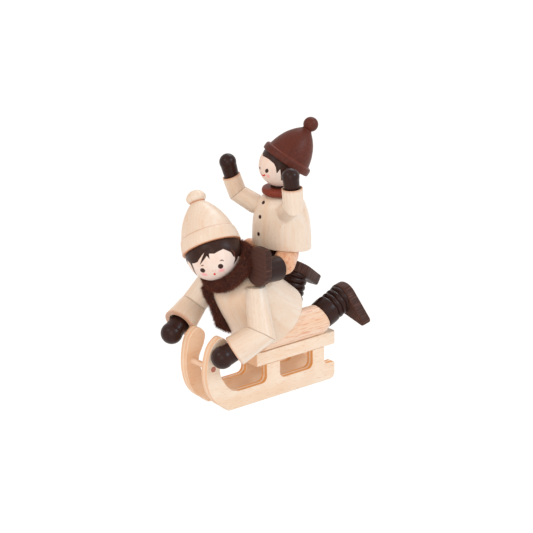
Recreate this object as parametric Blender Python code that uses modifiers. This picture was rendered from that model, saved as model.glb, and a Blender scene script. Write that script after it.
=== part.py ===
"""A small turned-wood ornament: a sled, a child lying on it and a smaller child riding on its back.

Every piece is its own object. Sizes are real millimetres, which MM turns into metres.
The working frame has X across the sled, -Y towards its front and Z up. X = 0 is the middle plane,
Y = 0 is the front corner of the runners and Z = 0 is the floor. At the end the whole ornament is
shifted so that the middle of the bottom of its box is the origin.
"""

import math
from dataclasses import dataclass, replace

import bmesh
import bpy
from mathutils import Matrix, Vector

MM = 0.001
GLUE_GAP = 0.08      # left between two glued faces
TURN_STEPS = 24      # facets round a large turned piece
SMALL_STEPS = 20     # facets round a small turned piece
MERGE_DISTANCE = 0.00001

# The sled.
PANEL_THICKNESS = 3.0
PANEL_PITCH = 10.64          # between the middles of the two runner panels
RAIL_HEIGHT = 5.85
POST_TOP = 12.02
SEAT_UNDERSIDE = POST_TOP + GLUE_GAP
SEAT_THICKNESS = 4.46
SEAT_TOP = SEAT_UNDERSIDE + SEAT_THICKNESS
SEAT_FRONT = 11.95
SEAT_REAR = 45.8
RAIL_REAR = 45.2
FRONT_POST = (16.1, 21.7)    # from its front edge to its rear edge
REAR_POST = (35.7, 40.7)
EDGE_EASING = 0.22
DOWEL_RADIUS = 1.0
DOWEL_PLACE = (-6.0, 15.9)   # Y and Z of the front cross dowel
HALF_WIDTH = (PANEL_PITCH + PANEL_THICKNESS) / 2

# The lying child.
LEG_RADIUS = 5.0
LEG_X = LEG_RADIUS + GLUE_GAP / 2
LEG_Z = SEAT_TOP + GLUE_GAP + LEG_RADIUS
LEG_FRONT = 14.0
COAT_LEAN = math.radians(38.0)
COAT_RIM_RADIUS = 13.1
COAT_RIM_Y = 22.5
COAT_HEIGHT = 23.7
HEAD_RADIUS = 8.9
HEAD_PLACE = (-3.0, 2.6, 50.8)
HAT_AXIS = (-0.58, 0.105, 0.805)
BRIM_RISE = 1.7              # from the middle of the head to the plane of the hat's brim
NECK_RADIUS = 1.6
BOOT_RADIUS = 4.75
RIB_START = 4.7
RIB_PITCH = 1.85
BOOT_LENGTH = RIB_START + 5 * RIB_PITCH   # before its sole end is sawn off aslant
SPIGOT_RADIUS = 1.3
SPIGOT_LENGTH = 1.8
SOLE_THICKNESS = 3.6
SOLE_HEEL_RADIUS = 5.05

# The seated child.
SEATED_FOOT = (0.0, 28.6, 48.5)
SEATED_AXIS = (0.0, -0.02, 1.0)
SEATED_FOOT_TILT = math.radians(8.8)
SEATED_COAT_HEIGHT = 17.9
SCARF_RING_HEIGHT = 2.2
SEATED_HEAD_RADIUS = 6.9
SEATED_HEAD_PLACE = (0.0, 28.16, 75.7)
SEATED_HAT_PLACE = (0.435, 29.888, 76.563)
SEATED_HAT_AXIS = (0.244, 0.543, 0.804)
THIGH_RADIUS = 3.7
SMALL_BOOT_RADIUS = 4.1
SMALL_SOLE_THICKNESS = 3.2
SMALL_SOLE_HEEL_RADIUS = 4.5
SADDLE_PEG_RADIUS = 4.4

# Every sleeve.
WRIST_SHARE = 0.86           # of a mitten's radius, where it enters its cuff
CUFF_ROOM = 0.6              # round the wrist of a mitten in its bored cuff
CUFF_WALL = 0.5              # the least that the bore leaves of the cuff's rim
CUFF_DEPTH = 0.42            # share of the forearm that is bored

Z_AXIS = Vector((0.0, 0.0, 1.0))


@dataclass(frozen=True)
class Finish:
    """A surface finish: its colour and how rough it is."""

    name: str
    colour: tuple
    roughness: float


PALE_PLY = Finish("pale_ply", (0.78, 0.60, 0.40), 0.55)
PALE_MAPLE = Finish("pale_maple", (0.80, 0.68, 0.50), 0.5)
PINK_BEECH = Finish("pink_beech", (0.78, 0.50, 0.32), 0.5)
SKIN_WHITE = Finish("skin_white", (0.86, 0.72, 0.63), 0.5)
DARK_STAIN = Finish("dark_stain", (0.035, 0.02, 0.018), 0.35)
RED_STAIN = Finish("red_stain", (0.11, 0.028, 0.02), 0.4)
BROWN_PLUSH = Finish("brown_plush", (0.10, 0.035, 0.02), 0.95)


@dataclass(frozen=True)
class Arm:
    """One arm: where its joints are, in working millimetres, and its radii from shoulder to cuff."""

    shoulder: tuple
    elbow: tuple
    cuff: tuple
    mitten: tuple
    shoulder_radius: float
    elbow_radius: float
    cuff_radius: float
    mitten_radius: float
    cut: tuple = ()          # the normal of the elbow's cut, where it isn't a true mitre


@dataclass(frozen=True)
class Toe:
    """The toe of a sole: how far it reaches from the heel's middle, and its two round corners."""

    reach: float
    radius: float
    spread: float            # from the sole's middle line to the centre of each corner


@dataclass(frozen=True)
class Boot:
    """One boot: its cuff's middle, the way its shaft, sole and toe point, and its shaft's length."""

    cuff: tuple
    axis: tuple
    sole: tuple
    toe: tuple
    shaft: float
    end: Toe


LYING_ARMS = {
    "left": Arm((9.0, 10.05, 39.3), (15.4, 6.9, 27.3), (10.9, -0.6, 21.9), (10.8, -5.4, 21.0),
                3.5, 4.35, 5.15, 3.7),
    "right": Arm((-9.15, 6.93, 40.3), (-14.25, 3.11, 30.71), (-11.87, -5.06, 26.25), (-11.51, -8.54, 23.85),
                 3.9, 4.3, 5.4, 3.6),
}
LYING_KNEES = {"left": (LEG_X, 38.6, LEG_Z), "right": (-LEG_X, 33.3, LEG_Z)}
KNEE_TO_CUFF = {"left": 2.2, "right": 2.8}
LYING_BOOTS = {
    "left": Boot((0.0, 0.0, 0.0), (0.052, 0.895, 0.443), (0.0, 0.977, 0.213), (0.805, 0.124, -0.58),
                 8.9, Toe(12.1, 1.2, 0.0)),
    "right": Boot((0.0, 0.0, 0.0), (-0.12, 0.42, 0.90), (-0.085, 0.563, 0.822), (-0.1, 0.816, -0.569),
                  11.6, Toe(11.4, 1.7, 0.9)),
}

SEATED_ARMS = {
    "left": Arm((8.6, 23.5, 62.75), (13.65, 22.15, 66.7), (13.6, 21.8, 72.4), (13.5, 21.3, 76.2),
                3.05, 3.3, 3.4, 2.85, (0.503, -0.41, 0.76)),
    "right": Arm((-7.8, 23.7, 62.0), (-12.9, 20.8, 65.0), (-14.0, 19.1, 71.0), (-14.5, 18.2, 75.6),
                 3.25, 3.0, 3.0, 2.78),
}
SEATED_KNEES = {"left": (10.3, 20.9, 46.6), "right": (-9.4, 23.5, 46.0)}
SEATED_HIPS = {"left": (4.2, 27.4, 46.9), "right": (-4.2, 27.4, 46.9)}
SEATED_BOOTS = {
    "left": Boot((10.5, 18.1, 45.7), (0.08, -0.993, 0.08), (0.08, -0.993, 0.08), (0.07, 0.087, 0.994),
                 6.5, Toe(8.1, 1.1, 2.1)),
    "right": Boot((-9.9, 20.7, 45.3), (-0.35, -0.93, -0.08), (-0.35, -0.93, -0.08), (-0.2, -0.08, 1.0),
                  6.5, Toe(8.1, 1.1, 2.1)),
}


def clear_scene():
    """Remove what the scene holds."""
    for obj in list(bpy.data.objects):
        bpy.data.objects.remove(obj, do_unlink=True)


def new_collection(name):
    """A collection in the scene."""
    found = bpy.data.collections.new(name)
    bpy.context.scene.collection.children.link(found)
    return found


def material_of(finish):
    """The material of a finish, made once."""
    known = bpy.data.materials.get(finish.name)
    if known:
        return known
    material = bpy.data.materials.new(finish.name)
    material.use_nodes = True
    shader = material.node_tree.nodes["Principled BSDF"]
    shader.inputs["Base Color"].default_value = (*finish.colour, 1.0)
    shader.inputs["Roughness"].default_value = finish.roughness
    shader.inputs["Metallic"].default_value = 0.0
    return material


def frame_at(place, axis, side=(1.0, 0.0, 0.0)):
    """A placement whose local Z lies along axis and whose local X turns towards side."""
    z = Vector(axis).normalized()
    x = Vector(side) - z * z.dot(Vector(side))
    x.normalize()
    y = z.cross(x)
    turn = Matrix((x, y, z)).transposed().to_4x4()
    return Matrix.Translation(Vector(place) * MM) @ turn


def towards(start, end):
    """The unit direction from one place to another."""
    return (Vector(end) - Vector(start)).normalized()


class Workshop:
    """Makes pieces and cutters and keeps them under one empty."""

    def __init__(self):
        self.pieces = new_collection("sled_ornament")
        self.cutters = new_collection("cutters")
        self.frame = bpy.data.objects.new("ornament_frame", None)
        self.pieces.objects.link(self.frame)

    def add(self, name, data, placement, finish):
        """Link an object: a piece where it has a finish, or else a cutter."""
        obj = bpy.data.objects.new(name, data)
        obj.parent = self.frame
        obj.matrix_world = placement
        if finish:
            data.materials.append(material_of(finish))
            self.pieces.objects.link(obj)
        else:
            obj.hide_render = True
            obj.display_type = "WIRE"
            self.cutters.objects.link(obj)
        return obj

    def turned(self, name, profile, placement, finish=None, steps=TURN_STEPS, closed=False):
        """A turned piece: profile lists (radius, height) down its outer side, from top to foot."""
        mesh = bpy.data.meshes.new(name)
        shape = bmesh.new()
        verts = [shape.verts.new((radius * MM, 0.0, height * MM)) for radius, height in profile]
        ends = verts[1:] + verts[:1] if closed else verts[1:]
        for first, second in zip(verts, ends):
            shape.edges.new((first, second))
        shape.to_mesh(mesh)
        shape.free()
        obj = self.add(name, mesh, placement, finish)
        turn = obj.modifiers.new("Turn", "SCREW")
        turn.steps = steps
        turn.render_steps = steps
        turn.use_merge_vertices = True
        turn.merge_threshold = MERGE_DISTANCE
        turn.use_smooth_shade = True
        return obj

    def ball(self, name, radius, placement, finish=None, segments=TURN_STEPS):
        """A ball."""
        mesh = bpy.data.meshes.new(name)
        shape = bmesh.new()
        rings = segments * 2 // 3
        bmesh.ops.create_uvsphere(shape, u_segments=segments, v_segments=rings, radius=radius * MM)
        shape.to_mesh(mesh)
        shape.free()
        mesh.shade_smooth()
        return self.add(name, mesh, placement, finish)

    def block(self, name, size, placement, finish=None):
        """A box of size (x, y, z), centred on its placement."""
        mesh = bpy.data.meshes.new(name)
        shape = bmesh.new()
        bmesh.ops.create_cube(shape, size=1.0)
        bmesh.ops.scale(shape, vec=Vector(size) * MM, verts=shape.verts)
        shape.to_mesh(mesh)
        shape.free()
        return self.add(name, mesh, placement, finish)

    def board(self, name, outlines, thickness, easing, placement, finish):
        """A sawn board: closed outlines in its own XY plane, extruded both ways, with eased edges."""
        curve = bpy.data.curves.new(name, "CURVE")
        curve.dimensions = "2D"
        curve.fill_mode = "BOTH"
        curve.extrude = (thickness / 2 - easing) * MM
        curve.bevel_depth = easing * MM
        curve.bevel_resolution = 0
        curve.offset = -easing * MM
        for outline in outlines:
            spline = curve.splines.new("POLY")
            spline.points.add(len(outline) - 1)
            for point, (x, y) in zip(spline.points, outline):
                point.co = (x * MM, y * MM, 0.0, 1.0)
            spline.use_cyclic_u = True
        return self.add(name, curve, placement, finish)

    def half_space(self, name, place, normal, size=40.0):
        """A cutter that removes all that lies past place in the direction of normal."""
        centre = Vector(place) + Vector(normal).normalized() * size / 2
        return self.block(name, (size, size, size), frame_at(centre, normal, (0.31, 0.95, 0.05)))

    def cut(self, piece, *cutters):
        """Take the cutters away from a piece."""
        for cutter in cutters:
            taken = piece.modifiers.new(cutter.name, "BOOLEAN")
            taken.operation = "DIFFERENCE"
            taken.solver = "EXACT"
            taken.object = cutter


def arc(centre, radius, start, end, count):
    """Points round an arc, from one angle to another, in degrees."""
    angles = [math.radians(start + (end - start) * i / count) for i in range(count + 1)]
    return [(centre[0] + radius * math.cos(a), centre[1] + radius * math.sin(a)) for a in angles]


def through(knots, per_span=3):
    """A smooth line through the knots (Catmull-Rom), with per_span points for each span."""
    ends = [knots[0]] + list(knots) + [knots[-1]]
    line = []
    for before, start, end, after in zip(ends, ends[1:], ends[2:], ends[3:]):
        for step in range(per_span):
            t = step / per_span
            line.append(tuple(
                0.5 * (2 * b + (c - a) * t + (2 * a - 5 * b + 4 * c - d) * t * t
                       + (3 * b - a - 3 * c + d) * t ** 3)
                for a, b, c, d in zip(before, start, end, after)
            ))
    line.append(tuple(knots[-1]))
    return line


def filleted(corners, count=4):
    """An outline from corners (x, y, fillet radius), with round corners as arcs."""
    outline = []
    before, after = corners[-1:] + corners[:-1], corners[1:] + corners[:1]
    for (x0, y0, _), (x, y, radius), (x1, y1, _) in zip(before, corners, after):
        if not radius:
            outline.append((x, y))
            continue
        here = Vector((x, y))
        back = (Vector((x0, y0)) - here).normalized()
        ahead = (Vector((x1, y1)) - here).normalized()
        half_angle = back.angle(ahead) / 2
        centre = here + (back + ahead).normalized() * radius / math.sin(half_angle)
        reach = radius / math.tan(half_angle)
        first = here + back * reach - centre
        last = here + ahead * reach - centre
        for i in range(count + 1):
            spoke = first.normalized().slerp(last.normalized(), i / count) * radius
            outline.append(tuple(centre + spoke))
    return outline


def grown(profile, gap=GLUE_GAP):
    """A turned profile moved outwards by a gap, for the room that a neighbour leaves it."""
    points = [Vector(point) for point in profile]
    moved = []
    for i, point in enumerate(points):
        normal = Vector((0.0, 0.0))
        for first, second in ((i - 1, i), (i, i + 1)):
            if 0 <= first and second < len(points):
                along = (points[second] - points[first]).normalized()
                normal += Vector((-along.y, along.x))
        on_axis = point.x < gap / 10
        if on_axis:
            normal.x = 0.0
        normal.normalize()
        place = point + normal * gap
        moved.append((0.0 if on_axis else place.x, place.y))
    return moved


def dowel_profile(radius, height, easing=0.3):
    """A plain dowel from height down to 0, with eased ends."""
    return [(0.0, height), (radius - easing, height), (radius, height - easing),
            (radius, easing), (radius - easing, 0.0), (0.0, 0.0)]


# The sled.

CURL_KNOTS = [(-1.7, 1.45), (-4.9, 4.0), (-7.4, 7.8), (-8.75, 13.5), (-8.45, 19.5), (-7.0, 24.2),
              (-3.7, 26.7), (-0.9, 24.3), (-1.4, 20.8), (-3.4, 16.6), (-3.1, 13.2), (-1.2, 9.6),
              (1.2, 7.0), (4.2, RAIL_HEIGHT)]
CURL_BEND_START = 10.0       # above it, a curl may be bent back and down
CURL_BEND_END = 26.7
CURL_BENDS = {"left": (1.05, -0.85), "right": (0.0, 0.0)}    # Y and Z, at the tip of the curl


def bent_curl(bend):
    """The knots of a curl whose tip is moved by bend, and the rest in proportion."""
    knots = []
    for y, z in CURL_KNOTS:
        share = max(0.0, (z - CURL_BEND_START) / (CURL_BEND_END - CURL_BEND_START)) ** 1.5
        knots.append((y + bend[0] * share, z + bend[1] * share))
    return knots


def runner_outline(bend):
    """A side panel, in Y and Z: a rail with two posts, and a curl at its front."""
    curl = bent_curl(bend)
    rear = filleted([
        (FRONT_POST[0], RAIL_HEIGHT, 2.0), (FRONT_POST[0], POST_TOP, 0.0), (FRONT_POST[1], POST_TOP, 0.0),
        (FRONT_POST[1], RAIL_HEIGHT, 2.0), (REAR_POST[0], RAIL_HEIGHT, 2.0), (REAR_POST[0], POST_TOP, 0.0),
        (REAR_POST[1], POST_TOP, 0.0), (REAR_POST[1], RAIL_HEIGHT, 1.6), (RAIL_REAR, RAIL_HEIGHT, 0.6),
        (RAIL_REAR, 0.0, 2.0), (0.0, 0.0, 1.2), curl[0] + (0.0,), curl[-1] + (0.0,),
    ])
    return rear[:-1] + through(curl)[1:]


def build_sled(shop):
    """The two runner panels, the seat board on their posts and the dowel across the curls."""
    hole = arc(DOWEL_PLACE, DOWEL_RADIUS + GLUE_GAP, 0.0, -345.0, 15)
    for side, sign in (("left", 1), ("right", -1)):
        placement = frame_at((sign * PANEL_PITCH / 2, 0.0, 0.0), (1, 0, 0), (0, 1, 0))
        outlines = [runner_outline(CURL_BENDS[side]), hole]
        shop.board(f"runner_{side}", outlines, PANEL_THICKNESS, EDGE_EASING, placement, PALE_PLY)
    seat = filleted([
        (-HALF_WIDTH, SEAT_FRONT, 0.4), (HALF_WIDTH, SEAT_FRONT, 0.4),
        (HALF_WIDTH, SEAT_REAR, 1.2), (-HALF_WIDTH, SEAT_REAR, 1.2),
    ])
    middle = (0.0, 0.0, SEAT_UNDERSIDE + SEAT_THICKNESS / 2)
    shop.board("seat_board", [seat], SEAT_THICKNESS, EDGE_EASING, frame_at(middle, Z_AXIS), PALE_PLY)
    start = (-HALF_WIDTH, *DOWEL_PLACE)
    shop.turned("front_dowel", dowel_profile(DOWEL_RADIUS, 2 * HALF_WIDTH, 0.1),
                frame_at(start, (1, 0, 0), (0, 1, 0)), PINK_BEECH, 16)


# Limbs, which both children share.

def mitten_profile(radius, wrist, length):
    """A turned mitten: a ball that narrows towards the cuff, and a wrist inside it."""
    crown = arc((0.0, 0.0), radius, 90.0, -20.0, 8)
    crown[0] = (0.0, radius)
    return crown + [(radius * WRIST_SHARE, -wrist), (radius * 0.76, -length), (0.0, -length)]


def build_arm(shop, name, side, arm, steps, rooms):
    """One arm: an upper arm and a forearm that meet in a mitre, and a mitten in the bored cuff."""
    down = towards(arm.shoulder, arm.elbow)
    along = towards(arm.elbow, arm.cuff)
    mitre = Vector(arm.cut).normalized() if arm.cut else (down + along).normalized()
    spare = arm.elbow_radius
    upper_length = (Vector(arm.elbow) - Vector(arm.shoulder)).length
    fore_length = (Vector(arm.cuff) - Vector(arm.elbow)).length

    # The upper arm's local Z runs from the elbow up to its domed shoulder.
    taper = (arm.shoulder_radius - arm.elbow_radius) / upper_length
    dome = arc((0.0, upper_length), arm.shoulder_radius, 90.0, 0.0, 4)
    dome[0] = (0.0, dome[0][1])
    profile = dome + [(arm.elbow_radius - taper * spare, -spare), (0.0, -spare)]
    upper_place = frame_at(arm.elbow, -down)
    upper = shop.turned(f"{name}_upper_arm_{side}", profile, upper_place, PALE_MAPLE, steps)
    shop.cut(upper, shop.half_space(f"{name}_upper_mitre_{side}",
                                    Vector(arm.elbow) - mitre * GLUE_GAP / 2, mitre), *rooms)

    # The forearm's local Z runs from the elbow down to its cuff, which is bored for the mitten.
    taper = (arm.cuff_radius - arm.elbow_radius) / fore_length
    bore = min(arm.mitten_radius * WRIST_SHARE + CUFF_ROOM, arm.cuff_radius - CUFF_WALL)
    bore_depth = CUFF_DEPTH * fore_length
    profile = [(0.0, fore_length - bore_depth), (bore, fore_length - bore_depth), (bore, fore_length),
               (arm.cuff_radius - 0.25, fore_length), (arm.cuff_radius, fore_length - 0.25),
               (arm.elbow_radius - taper * spare, -spare), (0.0, -spare)]
    fore = shop.turned(f"{name}_forearm_{side}", profile, frame_at(arm.elbow, along), PALE_MAPLE, steps)
    shop.cut(fore, shop.half_space(f"{name}_fore_mitre_{side}",
                                   Vector(arm.elbow) + mitre * GLUE_GAP / 2, -mitre))

    # The mitten leans a little in its cuff, towards where the hand lies.
    wrist_end = Vector(arm.cuff) - along * (bore_depth - 2 * CUFF_ROOM)
    lean = towards(wrist_end, arm.mitten)
    wrist = (Vector(arm.mitten) - Vector(arm.cuff)).length
    profile = mitten_profile(arm.mitten_radius, wrist, (Vector(arm.mitten) - wrist_end).length)
    mitten_place = frame_at(arm.mitten, lean)
    shop.turned(f"{name}_mitten_{side}", profile, mitten_place, DARK_STAIN, steps)
    shop.cut(fore, shop.turned(f"{name}_mitten_room_{side}", grown(profile), mitten_place, None, steps))
    return shop.turned(f"{name}_upper_arm_room_{side}",
                       grown(dome + [(arm.elbow_radius, 0.0)]) + [(0.0, 0.0)], upper_place, None, steps)


def sole_outline(heel_radius, toe):
    """The outline of a sole: a round heel at the origin and a toe that points along X."""
    tip, spread = toe.reach - toe.radius, toe.spread
    lean = math.atan2(spread, tip) + math.acos((heel_radius - toe.radius) / math.hypot(spread, tip))
    slope = math.degrees(lean)
    heel = arc((0.0, 0.0), heel_radius, slope, 360.0 - slope, 12)
    first = arc((tip, -spread), toe.radius, -slope, 0.0, 3)
    second = arc((tip, spread), toe.radius, 0.0, slope, 3)
    return heel + first + (second if spread else second[1:])


def sole_middle(boot):
    """Where a boot's shaft ends, on its axis."""
    return Vector(boot.cuff) + Vector(boot.axis).normalized() * boot.shaft


def build_sole(shop, name, boot, heel_radius, thickness):
    """The sawn sole plate at the end of a boot shaft, and the room that it takes."""
    normal = Vector(boot.sole).normalized()
    middle = sole_middle(boot) + normal * (GLUE_GAP + thickness / 2)
    placement = frame_at(middle, normal, boot.toe)
    shop.board(name, [sole_outline(heel_radius, boot.end)], thickness, 0.3, placement, DARK_STAIN)
    ahead = (Vector(boot.toe) - normal * normal.dot(Vector(boot.toe))).normalized()
    length, width = heel_radius + boot.end.reach, 2 * heel_radius
    size = tuple(side + 2 * GLUE_GAP for side in (length, width, thickness))
    room_middle = middle + ahead * (boot.end.reach - heel_radius) / 2
    return shop.block(f"{name}_room", size, frame_at(room_middle, normal, boot.toe))


def cuff_cutter(shop, name, boot):
    """A cutter for a leg: all that lies past the cuff of its boot, and the hole for the boot's spigot."""
    hole = SPIGOT_RADIUS + GLUE_GAP
    foot = -SPIGOT_LENGTH - GLUE_GAP
    reach = 30.0
    profile = [(0.0, reach), (reach, reach), (reach, -GLUE_GAP), (hole, -GLUE_GAP), (hole, foot),
               (0.0, foot)]
    return shop.turned(name, profile, frame_at(boot.cuff, boot.axis), None, 16)


def spigot():
    """The end of a boot's profile: the spigot that enters its leg."""
    return [(SPIGOT_RADIUS, 0.0), (SPIGOT_RADIUS, -SPIGOT_LENGTH), (0.0, -SPIGOT_LENGTH)]


# The lying child.

def lying_axis():
    """The axis of the lying child's coat, from its rim to its neck."""
    return Vector((0.0, -math.sin(COAT_LEAN), math.cos(COAT_LEAN)))


def lying_rim():
    """The middle of the coat's rim, which just clears the seat."""
    return Vector((0.0, COAT_RIM_Y, SEAT_TOP + GLUE_GAP + COAT_RIM_RADIUS * math.sin(COAT_LEAN)))


def lying_coat_profile():
    """The bell of the coat, from its neck to its rim."""
    side = through([(4.7, COAT_HEIGHT - 0.3), (7.0, 22.6), (8.95, 20.8), (10.1, 17.6), (10.85, 13.4),
                    (11.55, 8.6), (12.55, 3.9), (COAT_RIM_RADIUS, 0.9)], 2)
    return [(0.0, COAT_HEIGHT), (3.0, COAT_HEIGHT)] + side + [(COAT_RIM_RADIUS - 0.5, 0.0), (0.0, 0.0)]


def boot_profile():
    """A boot shaft: a smooth cuff and ribs above it, longer than the boot until its sole end is cut."""
    groove = BOOT_RADIUS - 0.45
    top = BOOT_LENGTH
    ribs = [(0.0, top), (groove, top)]
    while top > RIB_START + RIB_PITCH / 2:
        ribs += [(BOOT_RADIUS - 0.05, top - 0.5), (BOOT_RADIUS - 0.05, top - 1.35),
                 (groove, top - RIB_PITCH)]
        top -= RIB_PITCH
    return ribs + [(BOOT_RADIUS, top - 0.5), (BOOT_RADIUS + 0.1, top - 2.4), (BOOT_RADIUS, 0.3),
                   (BOOT_RADIUS - 0.3, 0.0)] + spigot()


def leg_profile(length):
    """A leg peg from its domed knee down to its sawn hip end."""
    dome = arc((0.0, length), LEG_RADIUS, 90.0, 0.0, 5)
    dome[0] = (0.0, dome[0][1])
    return dome + [(LEG_RADIUS, 0.3), (LEG_RADIUS - 0.3, 0.0), (0.0, 0.0)]


def build_lying_legs(shop, coat):
    """Two beech legs on the seat, let into the coat, with ribbed boots on their knees."""
    for side, knee in LYING_KNEES.items():
        hip = (knee[0], LEG_FRONT, knee[2])
        profile = leg_profile(knee[1] - LEG_FRONT)
        placement = frame_at(hip, (0, 1, 0))
        leg = shop.turned(f"lying_leg_{side}", profile, placement, PINK_BEECH)
        shop.cut(coat, shop.turned(f"lying_leg_room_{side}", grown(profile), placement))
        axis = Vector(LYING_BOOTS[side].axis).normalized()
        boot = replace(LYING_BOOTS[side], cuff=tuple(Vector(knee) + axis * KNEE_TO_CUFF[side]))
        shop.cut(leg, cuff_cutter(shop, f"lying_cuff_cut_{side}", boot))
        shaft = shop.turned(f"lying_boot_{side}", boot_profile(), frame_at(boot.cuff, axis), DARK_STAIN)
        shop.cut(shaft, shop.half_space(f"lying_sole_cut_{side}", sole_middle(boot), boot.sole))
        build_sole(shop, f"lying_sole_{side}", boot, SOLE_HEEL_RADIUS, SOLE_THICKNESS)


def lying_hat_profile():
    """The pale bobble hat: a turned bobble, a rounded crown and a folded band."""
    bobble = through([(0.0, 19.9), (1.9, 19.5), (3.2, 18.0), (3.15, 16.8), (2.4, 15.8)], 2)
    crown = through([(2.4, 15.8), (4.0, 14.2), (5.9, 11.7), (7.6, 8.5), (8.8, 4.8)], 2)[1:]
    return bobble + crown + [(9.15, 4.6), (9.6, 2.4), (9.8, 0.35), (9.5, 0.0), (0.0, 0.0)]


def build_lying_head(shop, coat):
    """The neck peg, the head and the hat of the lying child."""
    neck_foot = lying_rim() + lying_axis() * (COAT_HEIGHT - 4.0)
    head = Vector(HEAD_PLACE)
    axis = towards(neck_foot, head)
    length = (head - neck_foot).length - HEAD_RADIUS + 3.0
    profile = dowel_profile(NECK_RADIUS, length, 0.2)
    placement = frame_at(neck_foot, axis)
    shop.turned("lying_neck_peg", profile, placement, PALE_MAPLE, 12)
    room = shop.turned("lying_neck_room", grown(profile), placement, None, 12)
    shop.cut(coat, room)
    hat_place = head + Vector(HAT_AXIS).normalized() * BRIM_RISE
    shop.cut(shop.ball("lying_head", HEAD_RADIUS, frame_at(head, HAT_AXIS), SKIN_WHITE), room)
    head_room = shop.ball("lying_head_room", HEAD_RADIUS + GLUE_GAP, frame_at(head, HAT_AXIS))
    hat_frame = frame_at(hat_place, HAT_AXIS)
    hat = shop.turned("lying_hat", lying_hat_profile(), hat_frame, PALE_MAPLE)
    shop.cut(hat, head_room)
    return [room, head_room, shop.turned("lying_hat_room", grown(lying_hat_profile()), hat_frame)]


SCARF_MIDDLE = (-0.76, 6.77, 46.84)
SCARF_AXIS = (-0.047, -0.716, 0.696)
SCARF_RING_RADIUS = 8.17
SCARF_THICKNESS = 2.4
TAIL_PATH = [(-7.0, 2.3, 38.6), (-5.99, 2.28, 36.33), (-5.67, 3.2, 34.02), (-5.47, 4.0, 32.12),
             (-5.47, 4.9, 30.12), (-5.57, 5.8, 28.12), (-5.67, 6.8, 26.12), (-5.97, 7.8, 24.12),
             (-6.17, 8.8, 21.92), (-6.37, 9.6, 19.92)]
TAIL_WIDTHS = [3.2, 3.1, 2.7, 2.7, 2.9, 3.3, 3.8, 4.5, 5.0, 5.2]
TAIL_FACING = (0.45, -0.88, 0.1)
TAIL_THICKNESS = 1.8
TAIL_CUT_PLACE = (-5.92, 7.7, 22.87)      # on the slanting cut at the end of the scarf
TAIL_CUT_NORMAL = (-0.33, -0.27, -0.90)


def strip_mesh(name, path, widths, facing):
    """An open strip of cloth along a path, its face turned to facing."""
    normal = Vector(facing).normalized()
    mesh = bpy.data.meshes.new(name)
    shape = bmesh.new()
    rows = []
    for i, (place, width) in enumerate(zip(path, widths)):
        here = Vector(place)
        before = Vector(path[max(i - 1, 0)])
        after = Vector(path[min(i + 1, len(path) - 1)])
        across = (after - before).normalized().cross(normal).normalized()
        rows.append([shape.verts.new((here + across * width * share) * MM) for share in (-0.5, 0.0, 0.5)])
    for row, following in zip(rows, rows[1:]):
        for i in range(2):
            shape.faces.new((row[i], following[i], following[i + 1], row[i + 1]))
    bmesh.ops.recalc_face_normals(shape, faces=shape.faces)
    shape.to_mesh(mesh)
    shape.free()
    return mesh


def scarf_section(gap=0.0):
    """The round section of the scarf's ring."""
    return arc((SCARF_RING_RADIUS, 0.0), SCARF_THICKNESS + gap, 90.0, -240.0, 11)


def build_lying_scarf(shop, rooms):
    """The plush scarf: a thick ring round the neck and an end that hangs down the coat."""
    placement = frame_at(SCARF_MIDDLE, SCARF_AXIS)
    scarf = shop.turned("lying_scarf", scarf_section(), placement, BROWN_PLUSH, closed=True)
    shop.cut(scarf, *rooms)
    mesh = strip_mesh("lying_scarf_end", TAIL_PATH, TAIL_WIDTHS, TAIL_FACING)
    end = shop.add("lying_scarf_end", mesh, Matrix.Identity(4), BROWN_PLUSH)
    cloth = end.modifiers.new("Cloth", "SOLIDIFY")
    cloth.thickness = TAIL_THICKNESS * MM
    cloth.offset = 0.0
    ring_room = shop.turned("lying_scarf_room", scarf_section(GLUE_GAP), placement, closed=True)
    end_cut = shop.half_space("lying_scarf_end_cut", TAIL_CUT_PLACE, TAIL_CUT_NORMAL)
    shop.cut(end, ring_room, end_cut, *rooms)


def build_lying_child(shop):
    """The large child without its scarf, and the rooms of its pieces: the coat's comes first."""
    coat_place = frame_at(lying_rim(), lying_axis())
    coat = shop.turned("lying_coat", lying_coat_profile(), coat_place, PALE_MAPLE)
    room = shop.turned("lying_coat_room", grown(lying_coat_profile()), coat_place)
    build_lying_legs(shop, coat)

    # A small flat on the left shoulder leaves room for the seated child's boot above it.
    boot_foot = SEATED_BOOTS["left"].cuff[2] - SMALL_SOLE_HEEL_RADIUS
    shoulder_flat = shop.half_space("lying_shoulder_flat", (0.0, 0.0, boot_foot - GLUE_GAP), Z_AXIS)
    rooms = [room]
    for side, arm in LYING_ARMS.items():
        taken = [room, shoulder_flat] if side == "left" else [room]
        rooms.append(build_arm(shop, "lying", side, arm, TURN_STEPS, taken))
    return rooms + build_lying_head(shop, coat)


# The seated child.

def seated_coat_profile():
    """The seated child's coat, from its neck to below its slanting rim."""
    side = through([(4.6, 17.6), (6.4, 16.6), (8.05, 13.9), (9.15, 9.6), (9.6, 4.2), (9.6, 1.0),
                    (9.5, -3.0)], 2)
    return [(0.0, SEATED_COAT_HEIGHT), (3.2, SEATED_COAT_HEIGHT)] + side + [(0.0, -3.0)]


def foot_normal():
    """The upward normal of the slanting foot of the seated child's coat."""
    return Vector((0.0, math.sin(SEATED_FOOT_TILT), math.cos(SEATED_FOOT_TILT)))


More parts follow.
